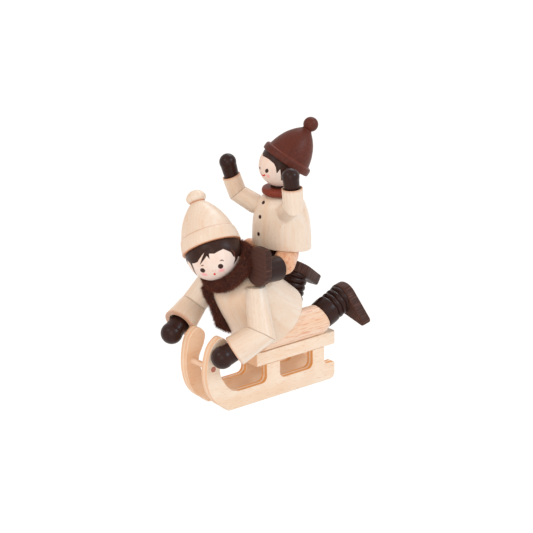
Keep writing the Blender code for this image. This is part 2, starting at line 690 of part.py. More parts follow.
def build_seated_legs(shop, below_coat, peg_room, lying_room):
    """Two thighs under the coat, each with a boot that points forward, and the rooms of the soles."""
    sole_rooms = []
    for side, knee in SEATED_KNEES.items():
        hip = SEATED_HIPS[side]
        length = (Vector(knee) - Vector(hip)).length
        dome = arc((0.0, length), THIGH_RADIUS, 90.0, 0.0, 4)
        foot = arc((0.0, 0.0), THIGH_RADIUS, 0.0, -90.0, 4)
        dome[0] = (0.0, dome[0][1])
        foot[-1] = (0.0, foot[-1][1])
        thigh_place = frame_at(hip, towards(hip, knee))
        thigh = shop.turned(f"seated_thigh_{side}", dome + foot, thigh_place, PINK_BEECH, SMALL_STEPS)
        boot = SEATED_BOOTS[side]
        shop.cut(thigh, below_coat, peg_room, cuff_cutter(shop, f"seated_cuff_cut_{side}", boot))
        profile = [(0.0, boot.shaft), (SMALL_BOOT_RADIUS, boot.shaft), (SMALL_BOOT_RADIUS, 0.35),
                   (SMALL_BOOT_RADIUS - 0.35, 0.0)] + spigot()
        boot_place = frame_at(boot.cuff, boot.axis)
        shaft = shop.turned(f"seated_boot_{side}", profile, boot_place, DARK_STAIN, SMALL_STEPS)
        shop.cut(shaft, lying_room)
        sole_rooms.append(build_sole(shop, f"seated_sole_{side}", boot, SMALL_SOLE_HEEL_RADIUS,
                                     SMALL_SOLE_THICKNESS))
    return sole_rooms


def seated_hat_profile():
    """The dark bobble hat: a ball on top, a rounded cone and an upright band."""
    bobble = arc((0.0, 14.69), 2.43, 90.0, -50.0, 6)
    bobble[0] = (0.0, 17.12)
    cone = through([(1.76, 12.47), (3.53, 10.71), (5.19, 8.44), (6.54, 5.54), (7.37, 2.6)], 2)
    return bobble + cone + [(8.1, 2.4), (8.45, 1.8), (8.5, 0.7), (8.41, 0.15), (8.2, 0.0), (0.0, 0.0)]


def build_seated_head(shop, coat):
    """The neck peg, the scarf ring, the head and the hat of the seated child."""
    top = Vector(SEATED_FOOT) + Vector(SEATED_AXIS).normalized() * SEATED_COAT_HEIGHT
    head = Vector(SEATED_HEAD_PLACE)
    axis = towards(top, head)
    placement = frame_at(top, axis)
    ring_top = SCARF_RING_HEIGHT + GLUE_GAP
    ring = [(2.2, ring_top), (5.2, ring_top), (5.8, ring_top - 0.3), (6.05, ring_top - 0.9),
            (6.0, GLUE_GAP + 0.5), (5.6, GLUE_GAP), (2.2, GLUE_GAP)]
    shop.turned("seated_scarf_ring", ring, placement, RED_STAIN, closed=True)

    # The neck peg has a thin collar between the ring and the ball of the head.
    reach = (head - top).length
    collar = ring_top + GLUE_GAP
    rest = [(r, reach - math.sqrt((SEATED_HEAD_RADIUS + GLUE_GAP) ** 2 - r * r)) for r in (1.4, 3.2)]
    peg = [(0.0, 6.5), (1.2, 6.5), (1.4, 6.3)] + rest + [(3.2, collar), (1.4, collar),
           (1.4, -3.8), (1.2, -4.0), (0.0, -4.0)]
    shop.turned("seated_neck_peg", peg, placement, DARK_STAIN, 16)
    peg_hole = [(0.0, 6.6), (1.5, 6.6), (1.5, -4.1), (0.0, -4.1)]
    room = shop.turned("seated_neck_room", peg_hole, placement, None, 16)
    shop.cut(coat, room)
    head_frame = frame_at(head, SEATED_HAT_AXIS)
    shop.cut(shop.ball("seated_head", SEATED_HEAD_RADIUS, head_frame, SKIN_WHITE), room)
    hat_frame = frame_at(SEATED_HAT_PLACE, SEATED_HAT_AXIS)
    hat = shop.turned("seated_hat", seated_hat_profile(), hat_frame, RED_STAIN)
    shop.cut(hat, shop.ball("seated_head_room", SEATED_HEAD_RADIUS + GLUE_GAP, head_frame))


def build_seated_child(shop, lying_room):
    """The small child, who rides on the back of the large one, and the rooms of its soles."""
    placement = frame_at(SEATED_FOOT, SEATED_AXIS)
    coat = shop.turned("seated_coat", seated_coat_profile(), placement, PALE_MAPLE)
    room = shop.turned("seated_coat_room", grown(seated_coat_profile()), placement)
    normal = foot_normal()
    shop.cut(coat, shop.half_space("seated_coat_foot_plane", SEATED_FOOT, -normal))

    # The peg stands square on the back of the lying child's coat.
    out = Vector((0.0, math.cos(COAT_LEAN), math.sin(COAT_LEAN)))
    peg_length = 16.0
    peg_foot = Vector(SEATED_FOOT) + out * 2.5 - out * peg_length
    below_coat = shop.half_space("under_seated_coat", Vector(SEATED_FOOT) - normal * GLUE_GAP, normal)
    profile = dowel_profile(SADDLE_PEG_RADIUS, peg_length, 0.3)
    peg = shop.turned("saddle_peg", profile, frame_at(peg_foot, out), DARK_STAIN, SMALL_STEPS)
    peg_room = shop.turned("saddle_peg_room", grown(profile), frame_at(peg_foot, out), None, SMALL_STEPS)
    shop.cut(peg, below_coat, lying_room)
    for side, arm in SEATED_ARMS.items():
        build_arm(shop, "seated", side, arm, SMALL_STEPS, [room])
    build_seated_head(shop, coat)
    return build_seated_legs(shop, below_coat, peg_room, lying_room)


def world_box(objects):
    """The lowest and highest corners of the evaluated objects."""
    graph = bpy.context.evaluated_depsgraph_get()
    corners = []
    for obj in objects:
        shown = obj.evaluated_get(graph)
        mesh = shown.to_mesh()
        corners += [shown.matrix_world @ vertex.co for vertex in mesh.vertices]
        shown.to_mesh_clear()
    low = Vector([min(corner[i] for corner in corners) for i in range(3)])
    high = Vector([max(corner[i] for corner in corners) for i in range(3)])
    return low, high


def settle_on_origin(shop):
    """Shift the ornament so that the middle of the bottom of its box is the origin."""
    bpy.context.view_layer.update()
    low, high = world_box([obj for obj in shop.pieces.objects if obj.type != "EMPTY"])
    shop.frame.location = (-(low.x + high.x) / 2, -(low.y + high.y) / 2, -low.z)
    bpy.context.view_layer.update()


def main():
    """Build the ornament."""
    clear_scene()
    shop = Workshop()
    build_sled(shop)
    rooms = build_lying_child(shop)
    build_lying_scarf(shop, rooms + build_seated_child(shop, rooms[0]))
    settle_on_origin(shop)


if __name__ == "__main__":
    main()
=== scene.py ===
"""The looks of a small turned-wood ornament: a child lying on a sled and a smaller child riding on its back.

Sizes are millimetres in the sled's own frame: X across it, -Y towards its front, Z up, X = 0 in its middle
plane, Y = 0 at the front corner of the runners and Z = 0 on the floor. A turned piece is a profile of
(radius, height) pairs, from its top down its outer side, in its own frame, whose Z is the lathe's axis.
"""

import logging
import math
from dataclasses import dataclass, field, replace
from enum import Enum
from typing import Callable, Optional, Sequence

import bmesh
import bpy
import numpy as np
from mathutils import Matrix, Vector
from mathutils.bvhtree import BVHTree

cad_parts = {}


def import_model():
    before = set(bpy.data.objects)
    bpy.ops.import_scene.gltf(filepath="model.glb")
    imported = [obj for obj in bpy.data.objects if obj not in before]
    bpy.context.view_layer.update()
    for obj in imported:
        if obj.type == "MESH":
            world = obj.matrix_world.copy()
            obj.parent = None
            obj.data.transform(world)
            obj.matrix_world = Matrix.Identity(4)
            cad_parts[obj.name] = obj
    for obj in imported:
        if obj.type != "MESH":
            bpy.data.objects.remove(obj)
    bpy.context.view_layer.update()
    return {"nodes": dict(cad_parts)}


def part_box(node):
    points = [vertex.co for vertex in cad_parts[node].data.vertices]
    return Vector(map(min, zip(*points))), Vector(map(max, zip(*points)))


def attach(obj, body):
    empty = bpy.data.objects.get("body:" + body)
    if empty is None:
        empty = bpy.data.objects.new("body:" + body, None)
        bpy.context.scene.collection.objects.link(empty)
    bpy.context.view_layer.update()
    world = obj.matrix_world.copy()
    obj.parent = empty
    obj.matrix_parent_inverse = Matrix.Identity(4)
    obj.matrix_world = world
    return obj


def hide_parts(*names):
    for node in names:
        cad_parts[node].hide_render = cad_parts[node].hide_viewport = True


LOG = logging.getLogger("sled_ornament")

Colour = tuple[float, float, float]
Pair = tuple[float, float]
Triple = tuple[float, float, float]
Profile = list[Pair]
MarksAndShade = Callable[..., float]

MM = 0.001
BODY = "root"
GLUE_GAP = 0.08              # the glue line between two pieces
FINE_STEPS = 112             # facets round a turned piece
SMALL_STEPS = 80             # facets round a small one
SPAN_POINTS = 8              # points for each span of a smooth profile
FLAT_ANGLE = math.radians(50.0)
FACING = 0.9                 # the least cosine between a face's normal and the way that it faces
POLE_RADIUS = 0.001          # under it a ring of vertices becomes one
SAW_STEP = 0.1               # the least between two points of a sawn outline
TURN_STEP = 0.6              # the most between two rings of a turned piece
CUT_MERGE = 0.00001          # how near a cut a vertex counts as on it
ACROSS = 0.5                 # under this cosine to a board's normal, a face is one of its sawn sides
EASING_ANGLES = [math.radians(angle) for angle in (0.0, 22.5, 45.0, 67.5, 90.0)]
X_AXIS = Vector((1.0, 0.0, 0.0))
Y_AXIS = Vector((0.0, 1.0, 0.0))
Z_AXIS = Vector((0.0, 0.0, 1.0))


class Slot(Enum):
    """The material slots of the record."""

    PLY = "pale_ply"
    MAPLE = "pale_maple"
    BEECH = "pink_beech"
    SKIN = "skin_white"
    DARK = "dark_stain"
    RED = "red_stain"
    PLUSH = "brown_plush"


class Side(Enum):
    """The sides of the ornament, and the way each lies along X."""

    LEFT = "left"
    RIGHT = "right"

    @property
    def sign(self) -> int:
        """1 on the left, which is the camera's side, and -1 on the right."""
        return 1 if self is Side.LEFT else -1


class Grain(Enum):
    """Where a wood's pattern is read: from a piece's own attribute, or from the object's coordinates."""

    PIECE = "piece"
    OBJECT = "object"


# Small geometry.

def srgb(red: float, green: float, blue: float) -> Colour:
    """Turn an sRGB colour of 0 to 255 into linear light.

    Args:
        red: The red value.
        green: The green value.
        blue: The blue value.

    Returns:
        The linear colour.
    """
    values = [channel / 255.0 for channel in (red, green, blue)]
    return tuple(v / 12.92 if v <= 0.04045 else ((v + 0.055) / 1.055) ** 2.4 for v in values)


def arc(centre: Pair, radius: float, start: float, end: float, count: int) -> Profile:
    """Points round an arc.

    Args:
        centre: The middle of the arc.
        radius: Its radius.
        start: Its first angle, in degrees.
        end: Its last angle, in degrees.
        count: The number of steps.

    Returns:
        The points, both ends included.
    """
    angles = [math.radians(start + (end - start) * i / count) for i in range(count + 1)]
    return [(centre[0] + radius * math.cos(a), centre[1] + radius * math.sin(a)) for a in angles]


def dome(height: float, radius: float, last: float = 0.0, count: int = 24) -> Profile:
    """A round end, with which a profile starts.

    Args:
        height: The height of the middle of the arc.
        radius: Its radius.
        last: The angle, in degrees, down to which it goes.
        count: The number of steps.

    Returns:
        The points, from the axis outwards.
    """
    points = arc((0.0, height), radius, 90.0, last, count)
    points[0] = (0.0, height + radius)
    return points


def through(knots: Sequence[tuple], per_span: int = SPAN_POINTS) -> list[tuple]:
    """A smooth line through knots (Catmull-Rom).

    Args:
        knots: Points of any number of coordinates.
        per_span: The points to make for each span.

    Returns:
        The points of the line, its last knot included.
    """
    ends = [knots[0], *knots, knots[-1]]
    line = []
    for before, start, end, after in zip(ends, ends[1:], ends[2:], ends[3:]):
        for step in range(per_span):
            t = step / per_span
            line.append(tuple(
                0.5 * (2 * b + (c - a) * t + (2 * a - 5 * b + 4 * c - d) * t * t
                       + (3 * b - a - 3 * c + d) * t ** 3)
                for a, b, c, d in zip(before, start, end, after)
            ))
    line.append(tuple(knots[-1]))
    return line


def filleted(corners: Sequence[Triple], count: int = 8) -> Profile:
    """A closed outline with round corners.

    Args:
        corners: Each corner's x, y and fillet radius.
        count: The steps of each fillet.

    Returns:
        The outline's points.
    """
    outline = []
    for (x0, y0, _), (x, y, radius), (x1, y1, _) in neighbours(corners):
        if not radius:
            outline.append((x, y))
            continue
        here = Vector((x, y))
        back = (Vector((x0, y0)) - here).normalized()
        ahead = (Vector((x1, y1)) - here).normalized()
        half_angle = back.angle(ahead) / 2
        centre = here + (back + ahead).normalized() * radius / math.sin(half_angle)
        reach = radius / math.tan(half_angle)
        first = (here + back * reach - centre).normalized()
        last = (here + ahead * reach - centre).normalized()
        outline += [tuple(centre + first.slerp(last, i / count) * radius) for i in range(count + 1)]
    return outline


def eased(profile: Profile, radius: float, least: float = 30.0, count: int = 4) -> Profile:
    """Round the sharp corners of an open profile.

    Args:
        profile: The profile's points.
        radius: How far from a corner its rounding starts.
        least: The turn, in degrees, from which a corner is rounded.
        count: The steps of each rounding.

    Returns:
        The profile with its corners rounded.
    """
    result = [profile[0]]
    for before, corner, after in zip(profile, profile[1:], profile[2:]):
        here = Vector(corner)
        back, ahead = Vector(before) - here, Vector(after) - here
        turn = 180.0 - math.degrees(back.angle(ahead, math.pi))
        if turn < least:
            result.append(corner)
            continue
        reach = min(radius, back.length * 0.45, ahead.length * 0.45)
        start, end = here + back.normalized() * reach, here + ahead.normalized() * reach
        for i in range(count + 1):
            t = i / count
            result.append(tuple(start * (1 - t) ** 2 + here * (2 * t * (1 - t)) + end * t * t))
    return result + [profile[-1]]


def frame_at(place: Sequence[float], axis: Sequence[float], side: Sequence[float] = X_AXIS) -> Matrix:
    """A placement in the sled's frame, in millimetres.

    Args:
        place: Where the origin lies.
        axis: The way that the local Z points.
        side: The way that the local X turns to.

    Returns:
        The placement.
    """
    z = Vector(axis).normalized()
    x = (Vector(side) - z * z.dot(Vector(side))).normalized()
    turn = Matrix((x, z.cross(x), z)).transposed().to_4x4()
    return Matrix.Translation(Vector(place)) @ turn


def towards(start: Sequence[float], end: Sequence[float]) -> Vector:
    """The unit direction from one place to another."""
    return (Vector(end) - Vector(start)).normalized()


def smooth_step(value: float, start: float, end: float) -> float:
    """0 before start, 1 after end, and smooth between them."""
    t = min(1.0, max(0.0, (value - start) / (end - start)))
    return t * t * (3.0 - 2.0 * t)


def neighbours(points: Sequence) -> zip:
    """Each point of a closed line between the one before it and the one after it."""
    return zip([*points[-1:], *points[:-1]], points, [*points[1:], *points[:1]])


def add_node(tree: bpy.types.NodeTree, kind: str, inputs: Optional[dict] = None,
             settings: Optional[dict] = None) -> bpy.types.Node:
    """Add a node to a tree.

    Args:
        tree: The tree.
        kind: The node's full type.
        inputs: Values or sockets for its inputs, by name or index.
        settings: Values for its own properties.

    Returns:
        The node.
    """
    made = tree.nodes.new(kind)
    for key, value in (settings or {}).items():
        setattr(made, key, value)
    for key, value in (inputs or {}).items():
        if isinstance(value, bpy.types.NodeSocket):
            tree.links.new(value, made.inputs[key])
        else:
            made.inputs[key].default_value = value
    return made


# The photograph's viewpoint, which also says where paint lies on a face.

@dataclass(frozen=True)
class View:
    """The camera, fitted to the photograph, in the sled's frame."""

    azimuth: float = 50.771          # degrees, from straight ahead towards the left side
    elevation: float = 18.807
    roll: float = -0.753
    aim_right: float = 17.038        # from the origin of the sled's frame, across the picture
    aim_up: float = 44.826
    distance: float = 812.584
    focal_px: float = 2500.0
    picture_px: float = 533.0
    sensor: float = 36.0

    def axes(self) -> tuple[Vector, Vector, Vector]:
        """Find the directions of the camera without its roll.

        Returns:
            Its right, up and back.
        """
        azimuth, elevation = math.radians(self.azimuth), math.radians(self.elevation)
        level = math.cos(elevation)
        back = Vector((math.sin(azimuth) * level, -math.cos(azimuth) * level, math.sin(elevation)))
        right = Vector((math.cos(azimuth), math.sin(azimuth), 0.0))
        return right, back.cross(right), back

    def eye(self) -> Vector:
        """Where the camera stands."""
        right, up, back = self.axes()
        return back * self.distance + right * self.aim_right + up * self.aim_up

    def rolled(self) -> tuple[Vector, Vector, Vector]:
        """Find the directions of the camera with its roll.

        Returns:
            Its right, up and back.
        """
        right, up, back = self.axes()
        turn = math.radians(self.roll)
        return (right * math.cos(turn) + up * math.sin(turn),
                up * math.cos(turn) - right * math.sin(turn), back)

    def ray(self, pixel: Pair) -> Vector:
        """Find the way through a pixel of the photograph.

        Args:
            pixel: The pixel.

        Returns:
            The unit direction from the camera.
        """
        right, up, back = self.rolled()
        across = (pixel[0] - self.picture_px / 2) / self.focal_px
        down = (pixel[1] - self.picture_px / 2) / self.focal_px
        return (right * across - up * down - back).normalized()

    def on_ball(self, pixel: Pair, centre: Vector, radius: float) -> Vector:
        """Find where a pixel lies on a ball.

        Args:
            pixel: The pixel.
            centre: The middle of the ball.
            radius: Its radius.

        Returns:
            Where the ray through the pixel first meets the ball, or comes nearest to it.
        """
        start, ray = self.eye() - centre, self.ray(pixel)
        half = start.dot(ray)
        room = half * half - start.length_squared + radius * radius
        return centre + (start + ray * (-half - math.sqrt(max(0.0, room)))).normalized() * radius

    def set_camera(self, datum: "Datum") -> None:
        """Make the camera.

        Args:
            datum: The sled's frame in the world.
        """
        right, up, back = self.rolled()
        lens = bpy.data.cameras.new("camera")
        lens.sensor_width = self.sensor
        lens.lens = self.focal_px / self.picture_px * self.sensor
        lens.clip_start = 0.01
        camera = bpy.data.objects.new("camera", lens)
        turn = Matrix((right, up, back)).transposed().to_4x4()
        camera.matrix_world = Matrix.Translation(datum.world(self.eye())) @ turn
        bpy.context.scene.collection.objects.link(camera)
        bpy.context.scene.camera = camera


@dataclass(frozen=True)
class Datum:
    """The place of the sled's frame in the world, in metres."""

    shift: Vector

    @classmethod
    def from_frame(cls, rail_rear: float) -> "Datum":
        """Read the place from the runner panels, whose rails end at rail_rear."""
        (left_low, left_high), (right_low, _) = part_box("runner_left"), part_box("runner_right")
        return cls(Vector(((left_high.x + right_low.x) / 2, left_high.y - rail_rear * MM, left_low.z)))

    def matrix(self) -> Matrix:
        """From the sled's frame, in millimetres, to the world, in metres."""
        return Matrix.Translation(self.shift) @ Matrix.Diagonal((MM, MM, MM, 1.0))

    def world(self, place: Sequence[float]) -> Vector:
        """A place of the sled's frame in the world."""
        return self.matrix() @ Vector(place)


# Finishes.

class Shader:
    """Builds a material's nodes round its Principled shader."""

    def __init__(self, name: str) -> None:
        """Start a material.

        Args:
            name: Its name.
        """
        self.material = bpy.data.materials.new(name)
        self.material.use_nodes = True
        self.tree = self.material.node_tree
        self.surface = self.tree.nodes["Principled BSDF"]

    def node(self, kind: str, inputs: Optional[dict] = None, **settings: object) -> bpy.types.Node:
        """Add a node, whose kind is its type without its ShaderNode prefix."""
        return add_node(self.tree, f"ShaderNode{kind}", inputs, settings)

    def math(self, operation: str, *values: object) -> bpy.types.NodeSocket:
        """A Math node's result."""
        return self.node("Math", dict(enumerate(values)), operation=operation).outputs[0]

    def step(self, value: bpy.types.NodeSocket, low: float, high: float) -> bpy.types.NodeSocket:
        """0 where the value is under low, 1 over high, smooth between them."""
        inputs = {"Value": value, "From Min": low, "From Max": high}
        return self.node("MapRange", inputs, interpolation_type="SMOOTHSTEP").outputs[0]

    def mix(self, share: object, first: object, second: object) -> bpy.types.NodeSocket:
        """Mix two colours.

        Args:
            share: How much of the second there is.
            first: A linear colour or a socket.
            second: Another.

        Returns:
            The mixed colour.
        """
        inputs = {0: share}
        for index, colour in ((6, first), (7, second)):
            inputs[index] = (*colour, 1.0) if isinstance(colour, tuple) else colour
        return self.node("Mix", inputs, data_type="RGBA").outputs[2]

    def attribute(self, name: str, output: str = "Fac") -> bpy.types.NodeSocket:
        """The value of an attribute of the mesh."""
        return self.node("Attribute", attribute_name=name).outputs[output]

    def place(self) -> bpy.types.NodeSocket:
        """The object's coordinates, in millimetres."""
        return self.scaled(self.node("TexCoord").outputs["Object"], (1 / MM, 1 / MM, 1 / MM))

    def scaled(self, vector: bpy.types.NodeSocket, sizes: Triple) -> bpy.types.NodeSocket:
        """Scale a vector along its axes."""
        return self.node("VectorMath", {0: vector, 1: sizes}, operation="MULTIPLY").outputs[0]

    def noise(self, vector: bpy.types.NodeSocket, batch: object, scale: float, detail: float = 2.0,
              distortion: float = 0.0) -> bpy.types.NodeSocket:
        """A noise that differs from batch to batch."""
        inputs = {"Vector": vector, "W": batch, "Scale": scale, "Detail": detail, "Distortion": distortion}
        return self.node("TexNoise", inputs, noise_dimensions="4D").outputs[0]

    def bump(self, height: bpy.types.NodeSocket, depth: float) -> None:
        """Give the surface relief, whose depth is in millimetres."""
        made = self.node("Bump", {"Height": height, "Distance": depth * MM, "Strength": 1.0})
        self.tree.links.new(made.outputs[0], self.surface.inputs["Normal"])

    def finish(self, colour: bpy.types.NodeSocket, **values: object) -> bpy.types.Material:
        """Join the colour and set the surface's other values.

        Args:
            colour: The base colour.
            values: Values or sockets for the inputs, named with _ for spaces.

        Returns:
            The material.
        """
        self.tree.links.new(colour, self.surface.inputs["Base Color"])
        for key, value in values.items():
            socket = self.surface.inputs[key.replace("_", " ")]
            if isinstance(value, bpy.types.NodeSocket):
                self.tree.links.new(value, socket)
            else:
                socket.default_value = value
        return self.material


@dataclass(frozen=True)
class Finish:
    """A finish, whose material is made once."""

    name: str
    slot: Slot

    def material(self) -> bpy.types.Material:
        """The material, made when it is first asked for."""
        return bpy.data.materials.get(self.name) or self.dressed(Shader(self.name))

    def dressed(self, shader: Shader) -> bpy.types.Material:
        """Make the material, each kind of finish in its own way."""
        raise NotImplementedError


@dataclass(frozen=True)
class Wood(Finish):
    """A wood under varnish or stain. Its grain runs along the local Z of a turned piece."""

    light: Colour
    dark: Colour
    fleck: Colour
    worn_and_shade: Colour                     # where an edge is scorched or rubbed through; also the painted shade in the lying hat's crease and the painted bounce light on the panels' inner faces
    ring_spacing: float = 1.6
    ring_share: float = 0.3
    shade_share: float = 0.6         # how much of the dark colour drifts over the wood
    fleck_share: float = 0.3
    fleck_start: float = 0.6         # of the noise from which a fleck shows
    fleck_fineness: float = 4.2
    roughness: float = 0.42
    coat: float = 0.25
    coat_roughness: float = 0.3
    level: float = 0.4               # how much its own surface mirrors
    relief: float = 0.02
    along: Triple = (1.0, 1.0, 0.12)   # how the pattern is drawn out
    core: Optional[Triple] = None    # a board's pale middle ply: its place, and its border's start and end
    core_share: float = 0.7
    marks: Optional[Colour] = None   # the lighter saw marks across its sawn sides

    def material(self, grain: Grain = Grain.PIECE) -> bpy.types.Material:
        """The material, made once for each source of its grain."""
        name = f"{self.name}_{grain.value}"
        return bpy.data.materials.get(name) or self.dressed(Shader(name), grain)

    def dressed(self, shader: Shader, grain: Grain = Grain.PIECE) -> bpy.types.Material:
        """Make the material: rings and drifting shade, with flecks over them.

        Args:
            shader: The shader to build it with.
            grain: Where the pattern is read.

        Returns:
            The material.
        """
        place, batch = self.source(shader, grain)
        drawn = shader.scaled(place, self.along)
        tone = shader.noise(drawn, batch, scale=0.16, detail=3.0, distortion=0.6)
        drift = shader.node("CombineXYZ", {"X": shader.math("MULTIPLY", tone, 2.5 * self.ring_spacing)})
        wander = shader.node("VectorMath", {0: drawn, 1: drift.outputs[0]})
        rings = shader.node("TexWave", {
            "Vector": wander.outputs[0], "Scale": 0.314 / self.ring_spacing, "Distortion": 2.2, "Detail": 2.0,
            "Detail Scale": 0.8, "Phase Offset": shader.math("MULTIPLY", batch, 3.7)},
            bands_direction="X").outputs[1]
        colour = shader.mix(shader.math("MULTIPLY", rings, self.ring_share), self.light, self.dark)
        shade = shader.step(tone, 0.35, 0.72)
        colour = shader.mix(shader.math("MULTIPLY", shade, self.shade_share), colour, self.dark)
        pores = shader.noise(drawn, batch, self.fleck_fineness)
        flecks = shader.step(pores, self.fleck_start, self.fleck_start + 0.1)
        colour = shader.mix(shader.math("MULTIPLY", flecks, self.fleck_share), colour, self.fleck)
        colour = self.edges(shader, colour, place)
        shader.bump(shader.math("ADD", shader.math("MULTIPLY", rings, 0.5), pores), self.relief)
        rough = shader.node("MapRange", {"Value": pores, "To Min": self.roughness - 0.06,
                                         "To Max": self.roughness + 0.1}).outputs[0]
        return shader.finish(colour, Roughness=rough, Coat_Weight=self.coat,
                             Coat_Roughness=self.coat_roughness, Specular_IOR_Level=self.level)

    @staticmethod
    def source(shader: Shader, grain: Grain) -> tuple[bpy.types.NodeSocket, object]:
        """Find what the pattern is made from.

        Args:
            shader: The shader that is built.
            grain: Where the pattern is read.

        Returns:
            The place in millimetres, and the batch.
        """
        if grain is Grain.OBJECT:
            return shader.place(), 0.0
        return shader.attribute("grain", "Vector"), shader.attribute("batch")

    def edges(self, shader: Shader, colour: bpy.types.NodeSocket,
              place: bpy.types.NodeSocket) -> bpy.types.NodeSocket:
        """Lay the edge colour over the edges, and a board's plies over its sawn sides.

        Args:
            shader: The shader that is built.
            colour: The colour so far.
            place: The place in the piece's own frame.

        Returns:
            The colour with its edges.
        """
        worn_and_shade = self.worn_and_shade
        if self.core:
            depth = shader.node("SeparateXYZ", {0: place}).outputs["Z"]
            layer = shader.math("ABSOLUTE", shader.math("SUBTRACT", depth, self.core[0]))
            core = shader.math("SUBTRACT", 1.0, shader.step(layer, *self.core[1:]))
            worn_and_shade = shader.mix(shader.math("MULTIPLY", core, self.core_share), self.worn_and_shade, self.light)
        if self.marks:
            lines = shader.noise(shader.scaled(place, (1.0, 1.0, 0.06)), 5.0, scale=2.6, detail=3.0)
            worn_and_shade = shader.mix(shader.step(lines, 0.5, 0.68), self.worn_and_shade, self.marks)
        # The attribute also holds painted shade: the crease under the lying hat's bobble, and warm bounce
        # light on the panels' inner faces.
        return shader.mix(shader.attribute("marks_and_shade"), colour, worn_and_shade)


@dataclass(frozen=True)
class Plush(Finish):
    """A short dark pile, whose tips catch the light."""

    name: str = "brown_pile"
    slot: Slot = Slot.PLUSH
    root: Colour = srgb(48, 20, 15)
    tip: Colour = srgb(126, 60, 42)
    pale: Colour = srgb(196, 124, 92)
    sheen: Colour = srgb(190, 130, 105)

    def dressed(self, shader: Shader) -> bpy.types.Material:
        """Make the material, whose colour differs from fibre to fibre.

        Args:
            shader: The shader to build it with.

        Returns:
            The material.
        """
        fibre = shader.attribute("fibre")
        patch = shader.noise(shader.node("TexCoord").outputs["Object"], 0.0, scale=380.0)
        share = shader.math("MULTIPLY", fibre, shader.step(patch, 0.2, 0.62))
        colour = shader.mix(share, self.root, self.tip)
        colour = shader.mix(shader.step(fibre, 0.88, 1.0), colour, self.pale)
        return shader.finish(colour, Roughness=0.9, Sheen_Weight=0.6, Sheen_Roughness=0.4,
                             Sheen_Tint=(*self.sheen, 1.0))


@dataclass(frozen=True)
class Paint(Finish):
    """A thin coat of paint on a turned head."""

    colour: Colour
    second: Colour
    roughness: float
    level: float                     # how much its surface mirrors

    def dressed(self, shader: Shader) -> bpy.types.Material:
        """Make the material: two tones that drift into each other, with faint brush marks.

        Args:
            shader: The shader to build it with.

        Returns:
            The material.
        """
        place = shader.place()
        drift = shader.noise(place, 1.7, scale=0.8, detail=3.0)
        colour = shader.mix(shader.step(drift, 0.3, 0.75), self.colour, self.second)
        shader.bump(shader.noise(place, 4.1, scale=4.5), 0.015)
        return shader.finish(colour, Roughness=self.roughness, Specular_IOR_Level=self.level)


@dataclass(frozen=True)
class Skin(Finish):
    """Painted wood with soft blush, which a mesh attribute holds."""

    name: str = "skin_paint"
    slot: Slot = Slot.SKIN
    colour: Colour = srgb(239, 231, 228)
    shade: Colour = srgb(236, 222, 216)
    blush: Colour = srgb(250, 156, 172)

    def dressed(self, shader: Shader) -> bpy.types.Material:
        """Make the material: a matt pinkish white over a faint grain.

        Args:
            shader: The shader to build it with.

        Returns:
            The material.
        """
        place = shader.attribute("grain", "Vector")
        tone = shader.noise(shader.scaled(place, (1.0, 1.0, 0.2)), 2.0, scale=0.5, detail=3.0)
        colour = shader.mix(shader.step(tone, 0.35, 0.7), self.colour, self.shade)
        colour = shader.mix(shader.attribute("marks_and_shade"), colour, self.blush)
        shader.bump(shader.noise(place, 3.0, scale=5.0), 0.012)
        return shader.finish(colour, Roughness=0.5, Coat_Weight=0.1)


# The ply's edge colour also paints warm bounce light on the panels' inner faces.
PALE_PLY = Wood(
    "sanded_ply", Slot.PLY, light=srgb(243, 234, 221), dark=srgb(235, 208, 179), fleck=srgb(210, 162, 120),
    worn_and_shade=srgb(228, 168, 106), ring_spacing=1.1, ring_share=0.24, fleck_share=0.35, fleck_start=0.57,
    roughness=0.5, coat=0.1, along=(0.12, 1.0, 1.0), core=(-0.15, 0.25, 0.5))
SEAT_WOOD = replace(PALE_PLY, name="sanded_seat", worn_and_shade=srgb(232, 196, 164), core=None)
# The maple's edge colour also paints the shade in the crease under the lying hat's bobble.
PALE_MAPLE = Wood(
    "varnished_maple", Slot.MAPLE, light=srgb(234, 230, 222), dark=srgb(224, 196, 167),
    fleck=srgb(206, 158, 116), worn_and_shade=srgb(196, 126, 76), ring_spacing=1.1, ring_share=0.16, fleck_share=0.24,
    fleck_start=0.57, roughness=0.42)
PINK_BEECH = Wood(
    "varnished_beech", Slot.BEECH, light=srgb(238, 223, 207), dark=srgb(234, 190, 154),
    fleck=srgb(216, 140, 92), worn_and_shade=srgb(184, 112, 94), ring_spacing=1.5, ring_share=0.3, fleck_share=0.55,
    fleck_start=0.53, fleck_fineness=2.4, roughness=0.4, along=(1.0, 1.0, 0.09))
# The thighs' beech is more orange with coarser flecks; its darker tone also paints the shade under the seated
# child's coat.
SHADED_THIGH_BEECH = replace(
    PINK_BEECH, name="orange_beech_shaded", light=srgb(228, 192, 162), dark=srgb(214, 153, 112),
    fleck=srgb(196, 112, 68), fleck_fineness=1.3, fleck_start=0.5, along=(1.0, 1.0, 0.5))
DARK_STAIN = Wood(
    "dark_stained", Slot.DARK, light=srgb(52, 28, 23), dark=srgb(36, 19, 15), fleck=srgb(24, 12, 9),
    worn_and_shade=srgb(98, 64, 54), ring_spacing=1.6, ring_share=0.4, fleck_share=0.4, roughness=0.3, coat=0.0,
    level=0.2, relief=0.004)
DARK_SOLE = replace(
    DARK_STAIN, name="dark_stained_sole", light=srgb(86, 60, 53), dark=srgb(64, 43, 38),
    worn_and_shade=srgb(62, 39, 34), marks=srgb(104, 74, 65), along=(1.0, 0.16, 1.0), roughness=0.5, level=0.16)
